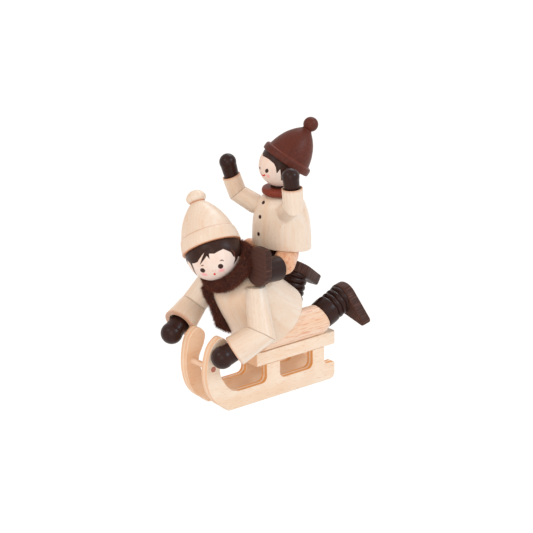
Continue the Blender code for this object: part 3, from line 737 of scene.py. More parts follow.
RED_STAIN = Wood(
    "red_stained", Slot.RED, light=srgb(96, 48, 38), dark=srgb(74, 35, 28), fleck=srgb(46, 20, 16),
    worn_and_shade=srgb(146, 70, 52), ring_spacing=0.8, ring_share=0.25, fleck_share=0.55, fleck_start=0.56,
    roughness=0.42, coat=0.0, level=0.18, relief=0.025)
RED_RING = replace(
    RED_STAIN, name="red_stained_ring", light=srgb(136, 64, 50), dark=srgb(104, 46, 37),
    fleck=srgb(66, 28, 23), fleck_share=0.7)
PLUSH = Plush()
SKIN = Skin()
HAIR_PAINT = Paint("hair_paint", Slot.SKIN, srgb(48, 28, 23), srgb(60, 38, 32), 0.38, 0.18)
EYE_PAINT = Paint("eye_paint", Slot.SKIN, srgb(50, 30, 28), srgb(66, 42, 38), 0.4, 0.2)
BUTTON_PAINT = replace(EYE_PAINT, slot=Slot.DARK)
BROW_PAINT = Paint("brow_paint", Slot.SKIN, srgb(96, 60, 52), srgb(112, 72, 60), 0.5, 0.2)
MOUTH_PAINT = Paint("mouth_paint", Slot.SKIN, srgb(214, 46, 42), srgb(224, 66, 58), 0.4, 0.3)
NOSE_PAINT = Paint("nose_paint", Slot.SKIN, srgb(206, 180, 170), srgb(214, 190, 182), 0.5, 0.3)


# The bench, on which each piece is shaped.

class Blank:
    """One piece being shaped: its mesh, in its own millimetres, and its placement in the sled's frame."""

    def __init__(self, placement: Optional[Matrix] = None) -> None:
        """Start an empty piece."""
        self.placement = placement or Matrix.Identity(4)
        self.shape = bmesh.new()

    def turn(self, profile: Profile, steps: int = FINE_STEPS, closed: bool = False) -> "Blank":
        """Turn a profile round the local Z.

        Args:
            profile: The (radius, height) pairs, from the top down the outer side.
            steps: The facets round the piece.
            closed: Whether the last pair joins the first, as on a ring.

        Returns:
            The piece.
        """
        flat_top = not closed and profile[0][0] < POLE_RADIUS and profile[1][1] == profile[0][1]
        flat_foot = not closed and profile[-1][0] < POLE_RADIUS and profile[-2][1] == profile[-1][1]
        used = self.stepped(profile[int(flat_top):len(profile) - int(flat_foot)])
        angles = [2 * math.pi * i / steps for i in range(steps)]
        rings = []
        for radius, height in used:
            spots = [(0.0, 0.0)] if radius < POLE_RADIUS else [
                (radius * math.cos(a), radius * math.sin(a)) for a in angles]
            rings.append([self.shape.verts.new((x, y, height)) for x, y in spots])
        for upper, lower in zip(rings, rings[1:] + (rings[:1] if closed else [])):
            self.join(upper, lower)
        if flat_top:
            self.shape.faces.new(rings[0])
        if flat_foot:
            self.shape.faces.new(rings[-1][::-1])
        return self

    @staticmethod
    def stepped(profile: Profile) -> Profile:
        """Add points to a profile.

        Args:
            profile: The profile's points.

        Returns:
            The profile, no step of which is longer than TURN_STEP.
        """
        result = [profile[0]]
        for start, end in zip(profile, profile[1:]):
            count = math.ceil(math.dist(start, end) / TURN_STEP)
            result += [tuple(Vector(start).lerp(Vector(end), i / count)) for i in range(1, count + 1)]
        return result

    def join(self, upper: list, lower: list) -> None:
        """Join two closed rings of vertices with faces.

        Args:
            upper: The first ring, which may be a single vertex.
            lower: The second, which may be one too.
        """
        count = max(len(upper), len(lower))
        for i in range(count):
            j = (i + 1) % count
            distinct = list(dict.fromkeys((upper[i % len(upper)], lower[i % len(lower)],
                                           lower[j % len(lower)], upper[j % len(upper)])))
            if len(distinct) > 2:
                self.shape.faces.new(distinct)

    def saw(self, outline: Profile, thickness: float, easing: float) -> "Blank":
        """Saw a board to an outline in the local XY plane.

        Args:
            outline: The closed outline, anticlockwise.
            thickness: The board's thickness, shared by both sides of the plane.
            easing: How far its edges are rounded.

        Returns:
            The piece.
        """
        spaced = [Vector(outline[0])]
        for point in map(Vector, outline[1:]):
            if min((point - spaced[-1]).length, (point - spaced[0]).length) > SAW_STEP:
                spaced.append(point)
        if sum(a.cross(b) for a, b in zip(spaced, spaced[1:] + spaced[:1])) < 0:
            spaced.reverse()
        inward = []
        for before, here, after in neighbours(spaced):
            first, second = (here - before).normalized(), (after - here).normalized()
            way = Vector((-first.y - second.y, first.x + second.x)).normalized()
            inward.append(way / max(0.5, way.dot(Vector((-first.y, first.x)))))
        bands = [(easing * (1 - math.sin(a)), thickness / 2 - easing * (1 - math.cos(a)))
                 for a in EASING_ANGLES]
        bands += [(inset, -height) for inset, height in bands[::-1]]
        rings = [[self.shape.verts.new((*(point + way * inset), height))
                  for point, way in zip(spaced, inward)] for inset, height in bands]
        for upper, lower in zip(rings, rings[1:]):
            self.join(upper, lower)
        self.shape.faces.new(rings[0])
        self.shape.faces.new(rings[-1][::-1])
        return self

    def slice(self, place: Sequence[float], normal: Sequence[float], easing: float = 0.0) -> "Blank":
        """Cut off all that lies past a plane of the sled's frame, and close the cut.

        Args:
            place: A place on the plane.
            normal: The way that what is cut off lies.
            easing: How far the new edge is rounded.

        Returns:
            The piece.
        """
        back = self.placement.inverted()
        geometry = self.shape.verts[:] + self.shape.edges[:] + self.shape.faces[:]
        cut = bmesh.ops.bisect_plane(
            self.shape, geom=geometry, dist=CUT_MERGE, plane_co=back @ Vector(place),
            plane_no=back.to_3x3() @ Vector(normal), clear_outer=True)["geom_cut"]
        rim = [part for part in cut if isinstance(part, bmesh.types.BMEdge)]
        bmesh.ops.edgenet_fill(self.shape, edges=rim)
        bmesh.ops.recalc_face_normals(self.shape, faces=self.shape.faces[:])
        if easing:
            bmesh.ops.bevel(self.shape, geom=rim, offset=easing, segments=3, profile=0.5, affect="EDGES")
        return self

    def loft(self, rings: Sequence[Sequence[Vector]], closed: bool = False) -> "Blank":
        """Join closed rings of places, given in the piece's own frame.

        Args:
            rings: The rings in order; a ring of one place is a pole.
            closed: Whether the last ring joins the first.

        Returns:
            The piece.
        """
        rows = [[self.shape.verts.new(place) for place in ring] for ring in rings]
        for upper, lower in zip(rows, rows[1:] + (rows[:1] if closed else [])):
            self.join(upper, lower)
        if not closed:
            for row in (rows[0], rows[-1]):
                if len(row) > 2:
                    self.shape.faces.new(row)
        bmesh.ops.recalc_face_normals(self.shape, faces=self.shape.faces[:])
        return self


class Bench:
    """Makes finished pieces and hangs them on the frame."""

    def __init__(self, datum: Datum) -> None:
        """Start with no piece made."""
        self.datum = datum
        self.made: list[str] = []

    def mesh_of(self, name: str, blank: Blank, marks_and_shade: Optional[MarksAndShade] = None) -> bpy.types.Mesh:
        """Turn a blank into a mesh with its attributes, placed in the world.

        Args:
            name: The mesh's name.
            blank: The shaped piece, which this uses up.
            marks_and_shade: How much of the edge colour each place of the piece's own frame has, from 0 to 1,
                for its marks and its painted shade.

        Returns:
            The mesh.
        """
        for face in blank.shape.faces:
            face.smooth = len(face.verts) <= 4
        mesh = bpy.data.meshes.new(name)
        blank.shape.to_mesh(mesh)
        blank.shape.free()
        mesh.set_sharp_from_angle(angle=FLAT_ANGLE)
        count = len(mesh.vertices)
        places = np.empty(count * 3, np.float32)
        mesh.vertices.foreach_get("co", places)
        self.store(mesh, "grain", "FLOAT_VECTOR", "vector", places)
        self.store(mesh, "batch", "FLOAT", "value", np.full(count, float(len(self.made) + 1), np.float32))
        if marks_and_shade:
            self.store(mesh, "marks_and_shade", "FLOAT", "value", [marks_and_shade(vertex.co) for vertex in mesh.vertices])
        mesh.transform(self.datum.matrix() @ blank.placement)
        return mesh

    @staticmethod
    def store(mesh: bpy.types.Mesh, name: str, kind: str, field_name: str, values: Sequence[float],
              domain: str = "POINT") -> None:
        """Store an attribute of a mesh.

        Args:
            mesh: The mesh.
            name: The attribute's name.
            kind: Its type.
            field_name: The name that its items give their value.
            values: The values.
            domain: What has a value each.
        """
        attribute = mesh.attributes.new(name, kind, domain)
        attribute.data.foreach_set(field_name, np.asarray(values, np.float32))

    def hang(self, name: str, mesh: bpy.types.Mesh, finish: Finish, *nodes: str) -> bpy.types.Object:
        """Make an object of a mesh and hang it on the frame.

        Args:
            name: The piece's name.
            mesh: Its mesh, placed in the world.
            finish: Its finish.
            nodes: The nodes that it replaces.

        Returns:
            The object.
        """
        mesh.materials.clear()
        mesh.materials.append(finish.material())
        piece = bpy.data.objects.new(name, mesh)
        bpy.context.scene.collection.objects.link(piece)
        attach(piece, BODY)
        if nodes:
            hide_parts(*nodes)
        self.made.append(name)
        LOG.info("%s: %d faces, for %s", name, len(mesh.polygons), ", ".join(nodes) or "no node")
        return piece

    def piece(self, node: str, blank: Blank, finish: Finish, marks_and_shade: Optional[MarksAndShade] = None) -> bpy.types.Object:
        """Finish a blank as the piece that replaces a node."""
        return self.hang(f"{node}_fine", self.mesh_of(f"{node}_fine", blank, marks_and_shade), finish, node)

    def paint(self, name: str, blank: Blank, finish: Paint) -> None:
        """Finish a blank as paint, which replaces no node."""
        self.hang(name, self.mesh_of(name, blank), finish)

    def board(self, node: str, blank: Blank, finish: Wood, sawn: MarksAndShade, warm: float = 0.0) -> None:
        """Finish a sawn board, whose attribute marks its sawn sides and holds painted bounce light on its
        inner face.

        Args:
            node: The node that it replaces.
            blank: The sawn board.
            finish: Its finish.
            sawn: How much of the edge colour each face has, from its middle and its normal in the sled's
                frame.
            warm: How much of the same colour its inner face has under the seat, as painted warm bounce light
                between the panels.
        """
        inward = -math.copysign(1.0, blank.placement.translation.x)
        mesh = self.mesh_of(f"{node}_fine", blank)
        back = self.datum.matrix().inverted()
        # A panel's inner face gets painted warm bounce light: a share of its edges' orange colour.
        worn_and_shade = [max(sawn(back @ face.center, face.normal), warm * (face.normal.x * inward > FACING))
                for face in mesh.polygons]
        self.store(mesh, "marks_and_shade", "FLOAT", "value", worn_and_shade, "FACE")
        self.hang(f"{node}_fine", mesh, finish, node)


# Geometry Nodes.

class Tree:
    """A Geometry Nodes tree with named inputs."""

    def __init__(self, name: str, **inputs: str) -> None:
        """Start a tree.

        Args:
            name: Its name.
            inputs: Its inputs beside the geometry, by name, each with its socket's type.
        """
        self.group = bpy.data.node_groups.new(name, "GeometryNodeTree")
        face = self.group.interface
        face.new_socket("Geometry", in_out="INPUT", socket_type="NodeSocketGeometry")
        face.new_socket("Geometry", in_out="OUTPUT", socket_type="NodeSocketGeometry")
        self.sockets = {
            label: face.new_socket(label, in_out="INPUT", socket_type=f"NodeSocket{kind}").identifier
            for label, kind in inputs.items()}
        self.start = self.group.nodes.new("NodeGroupInput")
        self.end = self.group.nodes.new("NodeGroupOutput")

    def node(self, kind: str, inputs: Optional[dict] = None, **settings: object) -> bpy.types.Node:
        """Add a node, whose kind is its type without its GeometryNode prefix, or else its full type."""
        full = kind if "Node" in kind else f"GeometryNode{kind}"
        return add_node(self.group, full, inputs, settings)

    def given(self, label: str) -> bpy.types.NodeSocket:
        """The socket of a named input, inside the tree."""
        return self.start.outputs[label]

    def chance(self, low: float, high: float, seed: int) -> bpy.types.NodeSocket:
        """A random value for each item."""
        values = {2: low, 3: high, "Seed": seed}
        return self.node("FunctionNodeRandomValue", values, data_type="FLOAT").outputs[1]

    def close(self, geometry: bpy.types.NodeSocket) -> None:
        """End the tree in Realize Instances and Set Material.

        Args:
            geometry: What the tree has made.
        """
        real = self.node("RealizeInstances", {0: geometry})
        dressed = self.node("SetMaterial", {"Geometry": real.outputs[0], "Material": self.given("Material")})
        self.group.links.new(dressed.outputs[0], self.end.inputs[0])

    def applied(self, mesh: bpy.types.Mesh, **values: object) -> bpy.types.Mesh:
        """Run the tree on a mesh.

        Args:
            mesh: The mesh to start from.
            values: A value for each named input.

        Returns:
            The resulting plain mesh.
        """
        carrier = bpy.data.objects.new(f"{mesh.name}_carrier", mesh)
        bpy.context.scene.collection.objects.link(carrier)
        modifier = carrier.modifiers.new("nodes", "NODES")
        modifier.node_group = self.group
        for label, value in values.items():
            modifier[self.sockets[label]] = value
        graph = bpy.context.evaluated_depsgraph_get()
        result = bpy.data.meshes.new_from_object(carrier.evaluated_get(graph), depsgraph=graph)
        carrier.modifiers.remove(modifier)
        bpy.data.objects.remove(carrier)
        return result


def pile_tree() -> Tree:
    """Make the tree that stands short tapered fibres on a surface, each with its own lean and length.

    Returns:
        The tree.
    """
    tree = Tree("plush_pile", Density="Float", Length="Float", Radius="Float", Lean="Float", Seed="Int",
                Material="Material")
    skin, lean, seed = tree.given("Geometry"), tree.given("Lean"), tree.given("Seed")
    spots = tree.node("DistributePointsOnFaces", {
        "Mesh": skin, "Density": tree.given("Density"), "Seed": seed})
    fibre = tree.node("MeshCone", {"Vertices": 3, "Radius Top": 0.0, "Radius Bottom": tree.given("Radius"),
                                   "Depth": tree.given("Length")})
    back = tree.node("ShaderNodeMath", {0: lean, 1: -1.0}, operation="MULTIPLY")
    low = tree.node("ShaderNodeCombineXYZ", {"X": back.outputs[0], "Y": back.outputs[0]})
    high = tree.node("ShaderNodeCombineXYZ", {"X": lean, "Y": lean})
    leaning = tree.node("FunctionNodeRandomValue", {0: low.outputs[0], 1: high.outputs[0], "Seed": seed},
                        data_type="FLOAT_VECTOR")
    tilt = tree.node("FunctionNodeEulerToRotation", {0: leaning.outputs[0]})
    turn = tree.node("FunctionNodeRotateRotation", {0: spots.outputs["Rotation"], 1: tilt.outputs[0]},
                     rotation_space="LOCAL")
    hairs = tree.node("InstanceOnPoints", {
        "Points": spots.outputs["Points"], "Instance": fibre.outputs["Mesh"], "Rotation": turn.outputs[0],
        "Scale": tree.chance(0.45, 1.0, 3)})
    named = tree.node("StoreNamedAttribute", {
        "Geometry": hairs.outputs[0], "Name": "fibre", "Value": tree.chance(0.0, 1.0, 5)},
        domain="INSTANCE", data_type="FLOAT")
    both = tree.node("JoinGeometry", {0: skin})
    tree.group.links.new(named.outputs[0], both.inputs[0])
    tree.close(both.outputs[0])
    return tree


def button_tree() -> Tree:
    """Make the tree that puts a low round button on each point, turned to its facing attribute.

    Returns:
        The tree.
    """
    tree = Tree("coat_buttons", Radius="Float", Flatness="Float", Material="Material")
    ball = tree.node("MeshUVSphere", {"Segments": 24, "Rings": 12, "Radius": tree.given("Radius")})
    low = tree.node("ShaderNodeCombineXYZ", {"X": 1.0, "Y": 1.0, "Z": tree.given("Flatness")})
    button = tree.node("Transform", {"Geometry": ball.outputs["Mesh"], "Scale": low.outputs[0]})
    facing = tree.node("InputNamedAttribute", {"Name": "facing"}, data_type="FLOAT_VECTOR")
    turn = tree.node("FunctionNodeAlignRotationToVector", {"Vector": facing.outputs[0]}, axis="Z")
    placed = tree.node("InstanceOnPoints", {
        "Points": tree.given("Geometry"), "Instance": button.outputs[0], "Rotation": turn.outputs[0]})
    smooth = tree.node("SetShadeSmooth", {0: placed.outputs[0]})
    tree.close(smooth.outputs[0])
    return tree


# The sled.

@dataclass
class Sled:
    """Two sawn runner panels, the seat board on their posts and the dowel across the curls."""

    thickness: float = 3.0
    pitch: float = 10.64
    rail_height: float = 5.85
    rail_rear: float = 45.2
    post_top: float = 12.02
    posts: tuple[Pair, Pair] = ((16.1, 21.7), (35.7, 40.7))
    seat_thickness: float = 4.46
    seat_front: float = 11.95
    seat_rear: float = 45.8
    easing: float = 0.22
    inner_painted_bounce: float = 0.4        # painted warm bounce light: how much of its edges' colour a panel's inner face has
    curl_scorch: float = 0.45        # how scorched the curls' sawn sides are, beside the windows'
    scorch_start: float = 1.0        # where, behind the curls, the sides grow darker, and where they are dark
    scorch_end: float = 9.0
    dowel_radius: float = 1.0
    dowel_easing: float = 0.15
    dowel_place: Pair = (-6.0, 15.9)
    dowel_proud: float = 0.05
    bend_start: float = 10.0
    bend_power: float = 1.5
    curl: tuple[Pair, ...] = (
        (-1.7, 1.45), (-4.9, 4.0), (-7.4, 7.8), (-8.75, 13.5), (-8.45, 19.5), (-7.0, 24.2), (-3.7, 26.7),
        (-0.9, 24.3), (-1.4, 20.8), (-3.4, 16.6), (-3.1, 13.2), (-1.2, 9.6), (1.2, 7.0), (4.2, 5.85))
    bends: dict[Side, Pair] = field(default_factory=lambda: {
        Side.LEFT: (1.05, -0.85), Side.RIGHT: (0.0, 0.0)})

    @property
    def half_width(self) -> float:
        """From the middle plane to the outer face of a panel."""
        return (self.pitch + self.thickness) / 2

    @property
    def seat_top(self) -> float:
        """The height of the seat board's top."""
        return self.post_top + GLUE_GAP + self.seat_thickness

    def curl_line(self, side: Side) -> list[tuple]:
        """Draw a curl's outline, its tip moved by its bend and the rest in proportion.

        Args:
            side: The panel's side.

        Returns:
            The outline's points, from the runner's front to the rail.
        """
        tip = max(z for _, z in self.curl)
        line = []
        for y, z in self.curl:
            share = max(0.0, (z - self.bend_start) / (tip - self.bend_start)) ** self.bend_power
            line.append((y + self.bends[side][0] * share, z + self.bends[side][1] * share))
        return through(line)

    def outline(self, side: Side) -> Profile:
        """Draw a side panel: a rail with two posts, and a curl at its front.

        Args:
            side: The panel's side.

        Returns:
            The closed outline, in Y and Z.
        """
        (front, front_end), (rear, rear_end) = self.posts
        rail, top = self.rail_height, self.post_top
        curl = self.curl_line(side)
        panel = filleted([
            (front, rail, 2.0), (front, top, 0.0), (front_end, top, 0.0), (front_end, rail, 2.0),
            (rear, rail, 2.0), (rear, top, 0.0), (rear_end, top, 0.0), (rear_end, rail, 1.6),
            (self.rail_rear, rail, 0.6), (self.rail_rear, 0.0, 2.0), (0.0, 0.0, 1.2),
            (*curl[0], 0.0), (*curl[-1], 0.0),
        ])
        return panel[:-1] + curl[1:]

    def scorched(self, place: Vector, normal: Vector) -> float:
        """How dark the saw left a panel's face: only its sawn sides, and the windows more than the curls."""
        behind = smooth_step(place.y, self.scorch_start, self.scorch_end)
        return (abs(normal.x) < ACROSS) * (self.curl_scorch + (1.0 - self.curl_scorch) * behind)

    def build(self, bench: Bench) -> None:
        """Make the sled's pieces.

        Args:
            bench: The bench that finishes them.
        """
        for side in Side:
            place = frame_at((side.sign * self.pitch / 2, 0.0, 0.0), X_AXIS, Y_AXIS)
            panel = Blank(place).saw(self.outline(side), self.thickness, self.easing)
            bench.board(f"runner_{side.value}", panel, PALE_PLY, self.scorched, self.inner_painted_bounce)
        seat = filleted([
            (self.seat_front, -self.half_width, 0.4), (self.seat_rear, -self.half_width, 1.2),
            (self.seat_rear, self.half_width, 1.2), (self.seat_front, self.half_width, 0.4),
        ])
        middle = (0.0, 0.0, self.seat_top - self.seat_thickness / 2)
        board = Blank(frame_at(middle, Z_AXIS, Y_AXIS)).saw(seat, self.seat_thickness, self.easing)
        bench.board("seat_board", board, SEAT_WOOD, lambda _, normal: float(abs(normal.y) > 0.7))
        self.build_dowel(bench)

    def build_dowel(self, bench: Bench) -> None:
        """Make the dowel across the curls.

        Args:
            bench: The bench that finishes it.
        """
        radius, length = self.dowel_radius, 2 * (self.half_width + self.dowel_proud)
        profile = eased([(0.0, length), (radius, length), (radius, 0.0), (0.0, 0.0)], self.dowel_easing)

        def end_grain(spot: Vector) -> float:
            """The dowel's sawn ends are darker."""
            return 1.0 - smooth_step(min(spot.z, length - spot.z), 0.1, 0.3)

        dowel = Blank(frame_at((-length / 2, *self.dowel_place), X_AXIS, Y_AXIS)).turn(profile, SMALL_STEPS)
        bench.piece("front_dowel", dowel, PINK_BEECH, end_grain)


# Limbs, which both children share.

@dataclass(frozen=True)
class Arm:
    """One arm: where its joints are, and its radii from shoulder to cuff."""

    shoulder: Triple
    elbow: Triple
    cuff: Triple
    mitten: Triple
    shoulder_radius: float
    elbow_radius: float
    cuff_radius: float
    mitten_radius: float
    cut: Optional[Triple] = None     # the normal of the elbow's cut, where it isn't a true mitre
    wrist_share: float = 0.86
    cuff_room: float = 0.6
    cuff_wall: float = 0.5
    cuff_depth: float = 0.42
    rim_easing: float = 0.22
    cut_easing: float = 0.1
    scorch_share: float = 0.55       # how dark the cuff's turned rim is
    wrist_taper: float = 0.76        # of the mitten's hidden end, beside its ball
    flat: Optional[float] = None     # the height over which the shoulder is cut flat
    flat_easing: float = 1.0

    def build(self, bench: Bench, name: str, side: Side, steps: int) -> None:
        """Make the upper arm, the forearm and the mitten.

        Args:
            bench: The bench that finishes them.
            name: The child's name, with which the pieces' names start.
            side: The arm's side.
            steps: The facets round each piece.
        """
        down, along = towards(self.shoulder, self.elbow), towards(self.elbow, self.cuff)
        mitre, elbow = Vector(self.cut or (down + along)).normalized(), Vector(self.elbow)
        half_gap = mitre * GLUE_GAP / 2
        spare = self.elbow_radius
        upper_length = (elbow - Vector(self.shoulder)).length
        fore_length = (Vector(self.cuff) - elbow).length

        taper = (self.shoulder_radius - self.elbow_radius) / upper_length
        profile = dome(upper_length, self.shoulder_radius)
        profile += [(self.elbow_radius - taper * spare, -spare), (0.0, -spare)]
        upper = Blank(frame_at(elbow, -down)).turn(profile, steps)
        upper.slice(elbow - half_gap, mitre, self.cut_easing)
        if self.flat:
            upper.slice((0.0, 0.0, self.flat), Z_AXIS, self.flat_easing)
        bench.piece(f"{name}_upper_arm_{side.value}", upper, PALE_MAPLE)

        taper = (self.cuff_radius - self.elbow_radius) / fore_length
        wrist_radius = self.mitten_radius * self.wrist_share
        bore = min(wrist_radius + self.cuff_room, self.cuff_radius - self.cuff_wall)
        floor = fore_length * (1 - self.cuff_depth)
        rim = eased([(bore, floor), (bore, fore_length), (self.cuff_radius, fore_length),
                     (self.elbow_radius - taper * spare, -spare)], self.rim_easing)
        fore = Blank(frame_at(elbow, along)).turn([(0.0, floor), *rim, (0.0, -spare)], steps)
        fore.slice(elbow + half_gap, -mitre, self.cut_easing)

        def scorched(place: Vector) -> float:
            """The turned rim of the cuff is a little darker."""
            return self.scorch_share * smooth_step(place.z, fore_length - 0.5, fore_length - 0.1)

        bench.piece(f"{name}_forearm_{side.value}", fore, PALE_MAPLE, scorched)

        wrist_end = Vector(self.cuff) - along * (self.cuff_depth * fore_length - 2 * self.cuff_room)
        wrist = (Vector(self.mitten) - Vector(self.cuff)).length
        length = (Vector(self.mitten) - wrist_end).length
        profile = dome(0.0, self.mitten_radius, -20.0, 36)
        hidden = (self.mitten_radius * self.wrist_taper, -length)
        profile += through([profile[-1], (wrist_radius, -wrist), hidden], 6)[1:] + [(0.0, -length)]
        mitten = Blank(frame_at(self.mitten, towards(wrist_end, self.mitten))).turn(profile, steps)
        bench.piece(f"{name}_mitten_{side.value}", mitten, DARK_STAIN)


@dataclass(frozen=True)
class Toe:
    """The toe of a sole: how far it reaches from the heel's middle, and its two round corners."""

    reach: float
    radius: float
    spread: float                # from the sole's middle line to the centre of each corner


@dataclass(frozen=True)
class Boot:
    """One boot: its cuff's middle, the way its shaft, sole and toe point, and its shaft's length."""

    cuff: Triple
    axis: Triple
    sole: Triple
    toe: Triple
    shaft: float
    end: Toe
    sole_easing: float = 0.6

    def foot(self) -> Vector:
        """Where the shaft ends, on its axis."""
        return Vector(self.cuff) + Vector(self.axis).normalized() * self.shaft

    def build_sole(self, bench: Bench, node: str, heel: float, thickness: float) -> None:
        """Make the sawn sole.

        Args:
            bench: The bench that finishes it.
            node: The node that it replaces.
            heel: The radius of the heel.
            thickness: The sole's thickness.
        """
        tip, spread, radius = self.end.reach - self.end.radius, self.end.spread, self.end.radius
        slope = math.degrees(math.atan2(spread, tip) + math.acos((heel - radius) / math.hypot(spread, tip)))
        outline = arc((0.0, 0.0), heel, slope, 360.0 - slope, 60)
        outline += arc((tip, -spread), radius, -slope, 0.0, 12) + arc((tip, spread), radius, 0.0, slope, 12)
        normal = Vector(self.sole).normalized()
        place = frame_at(self.foot() + normal * (GLUE_GAP + thickness / 2), normal, self.toe)
        sole = Blank(place).saw(outline, thickness, self.sole_easing)
        bench.board(node, sole, DARK_SOLE, lambda _, facing: float(abs(facing.dot(normal)) < ACROSS))


@dataclass
class PaintedHead:
    """A turned head, and the paint on it, which is placed by pixels of the photograph."""

    centre: Triple
    radius: float
    axis: Triple
    view: View
    rise: float = 0.045              # how far paint stands out
    sunk: float = 0.15               # how deep its hidden edge lies
    ball_steps: int = 160
    dab_points: int = 32
    thinnest: float = 0.03           # a stroke's least width
    hair_top: float = 70.0           # degrees down from the head's top, under the hat
    hair_thickness: float = 0.16
    hair_edge: float = 0.02
    hair_columns: int = 720
    hair_rows: int = 14
    blush_share: float = 0.7
    blush_core: float = 0.35         # of a cheek's size, within which its blush is full
    blush_end: float = 1.25

    @property
    def placement(self) -> Matrix:
        """The head's own frame."""
        return frame_at(self.centre, self.axis)

    def spot(self, pixel: Pair) -> Vector:
        """The place on the head under a pixel, as a direction from its middle."""
        middle = Vector(self.centre)
        return (self.view.on_ball(pixel, middle, self.radius) - middle).normalized()

    def build(self, bench: Bench, node: str, cheeks: Sequence[tuple[Pair, Pair]]) -> None:
        """Make the turned ball with soft blush.

        Args:
            bench: The bench that finishes it.
            node: The node that it replaces.
            cheeks: Each cheek's pixel, and its half sizes along and across, in millimetres.
        """
        profile = arc((0.0, 0.0), self.radius, 90.0, -90.0, 96)
        profile[0], profile[-1] = (0.0, self.radius), (0.0, -self.radius)
        turn = self.placement.to_3x3()
        spots = [(self.spot(pixel), sizes) for pixel, sizes in cheeks]

        def blush(place: Vector) -> float:
            """Find how much blush lies on the ball.

            Args:
                place: The place, in the ball's own frame.

            Returns:
                The share of the blush, from 0 to 1.
            """
            way = (turn @ place).normalized()
            share = 0.0
            for spot, (wide, high) in spots:
                off = (way - spot) * self.radius
                level = spot.cross(Z_AXIS).normalized()
                reach = math.hypot(off.dot(level) / wide, off.dot(spot.cross(level)) / high)
                if way.dot(spot) > 0:
                    share = max(share, 1.0 - smooth_step(reach, self.blush_core, self.blush_end))
            return self.blush_share * share

        bench.piece(node, Blank(self.placement).turn(profile, self.ball_steps), SKIN, blush)

    def dab(self, blank: Blank, pixel: Pair, wide: float, high: float, slant: float = 0.0) -> None:
        """Add an oval dab of paint to a blank in the sled's frame.

        Args:
            blank: The blank.
            pixel: The middle of the dab.
            wide: Its half width, in pixels.
            high: Its half height, in pixels.
            slant: How far it is turned clockwise, in degrees.
        """
        middle, turn = Vector(self.centre), math.radians(slant)
        section = ((1.0, -self.sunk), (1.0, 0.4 * self.rise), (0.9, self.rise), (0.5, 1.3 * self.rise))
        rings = []
        for share, lift in section:
            ring = []
            for i in range(self.dab_points):
                a = 2 * math.pi * i / self.dab_points
                u, v = wide * share * math.cos(a), high * share * math.sin(a)
                spot = self.spot((pixel[0] + u * math.cos(turn) - v * math.sin(turn),
                                  pixel[1] + u * math.sin(turn) + v * math.cos(turn)))
                ring.append(middle + spot * (self.radius + lift))
            rings.append(ring)
        rings.append([middle + self.spot(pixel) * (self.radius + 1.4 * self.rise)])
        blank.loft(rings)

    def stroke(self, blank: Blank, path: Sequence[Pair], widths: Sequence[float], rise: float = 0.0) -> None:
        """Add a tapered brush stroke to a blank in the sled's frame.

        Args:
            blank: The blank.
            path: The pixels that the stroke follows.
            widths: Its width at each of them, in millimetres.
            rise: How much more than others it stands out.
        """
        line = through([(*pixel, width) for pixel, width in zip(path, widths)])
        spots = [self.spot((x, y)) for x, y, _ in line]
        middle, top, rings = Vector(self.centre), self.rise + rise, []
        section = ((-1.0, -self.sunk), (-1.0, 0.3 * top), (-0.6, top), (0.6, top), (1.0, 0.3 * top),
                   (1.0, -self.sunk))
        for i, (spot, (_, _, width)) in enumerate(zip(spots, line)):
            along = spots[min(i + 1, len(spots) - 1)] - spots[max(i - 1, 0)]
            across = spot.cross(along).normalized() * max(width, self.thinnest) / 2
            rings.append([middle + (spot * self.radius + across * share).normalized() * (self.radius + lift)
                          for share, lift in section])
        blank.loft(rings)

    def hair(self, blank: Blank, pixels: Sequence[Pair], hidden: Sequence[Pair]) -> None:
        """Add a cap of painted hair that ends in locks.

        Args:
            blank: The blank, in the sled's frame.
            pixels: The border of the hair where the photograph shows it.
            hidden: Where it doesn't: degrees round the head's axis, and down from its top.
        """
        back = self.placement.to_3x3().inverted()
        border = [self.polar(back @ self.spot(pixel)) for pixel in pixels] + list(hidden)
        rounds, downs = zip(*border)
        angles = [360.0 * i / self.hair_columns for i in range(self.hair_columns)]
        ends = np.interp(angles, rounds, downs, period=360.0)
        rings = []
        for angle, end in zip(angles, ends):
            section = [(self.hair_top, -self.sunk)]
            for row in range(self.hair_rows + 1):
                share = row / self.hair_rows
                lift = self.hair_thickness * min(1.0, (1.0 - share) * 3.0) ** 0.5
                section.append((self.hair_top + (end - self.hair_top) * share, max(lift, self.hair_edge)))
            section.append((end, -self.sunk))
            rings.append([self.placement @ self.at(angle, down, self.radius + lift)
                          for down, lift in section])
        blank.loft(rings, closed=True)

    @staticmethod
    def polar(way: Vector) -> Pair:
        """A direction of the head's own frame as degrees round its axis and down from its top."""
        down = math.acos(max(-1.0, min(1.0, way.z)))
        return math.degrees(math.atan2(way.y, way.x)), math.degrees(down)

    @staticmethod
    def at(angle: float, down: float, radius: float) -> Vector:
        """A place of the head's own frame from its angles, in degrees."""
        a, d = math.radians(angle), math.radians(down)
        return Vector((math.cos(a) * math.sin(d), math.sin(a) * math.sin(d), math.cos(d))) * radius


# The lying child.

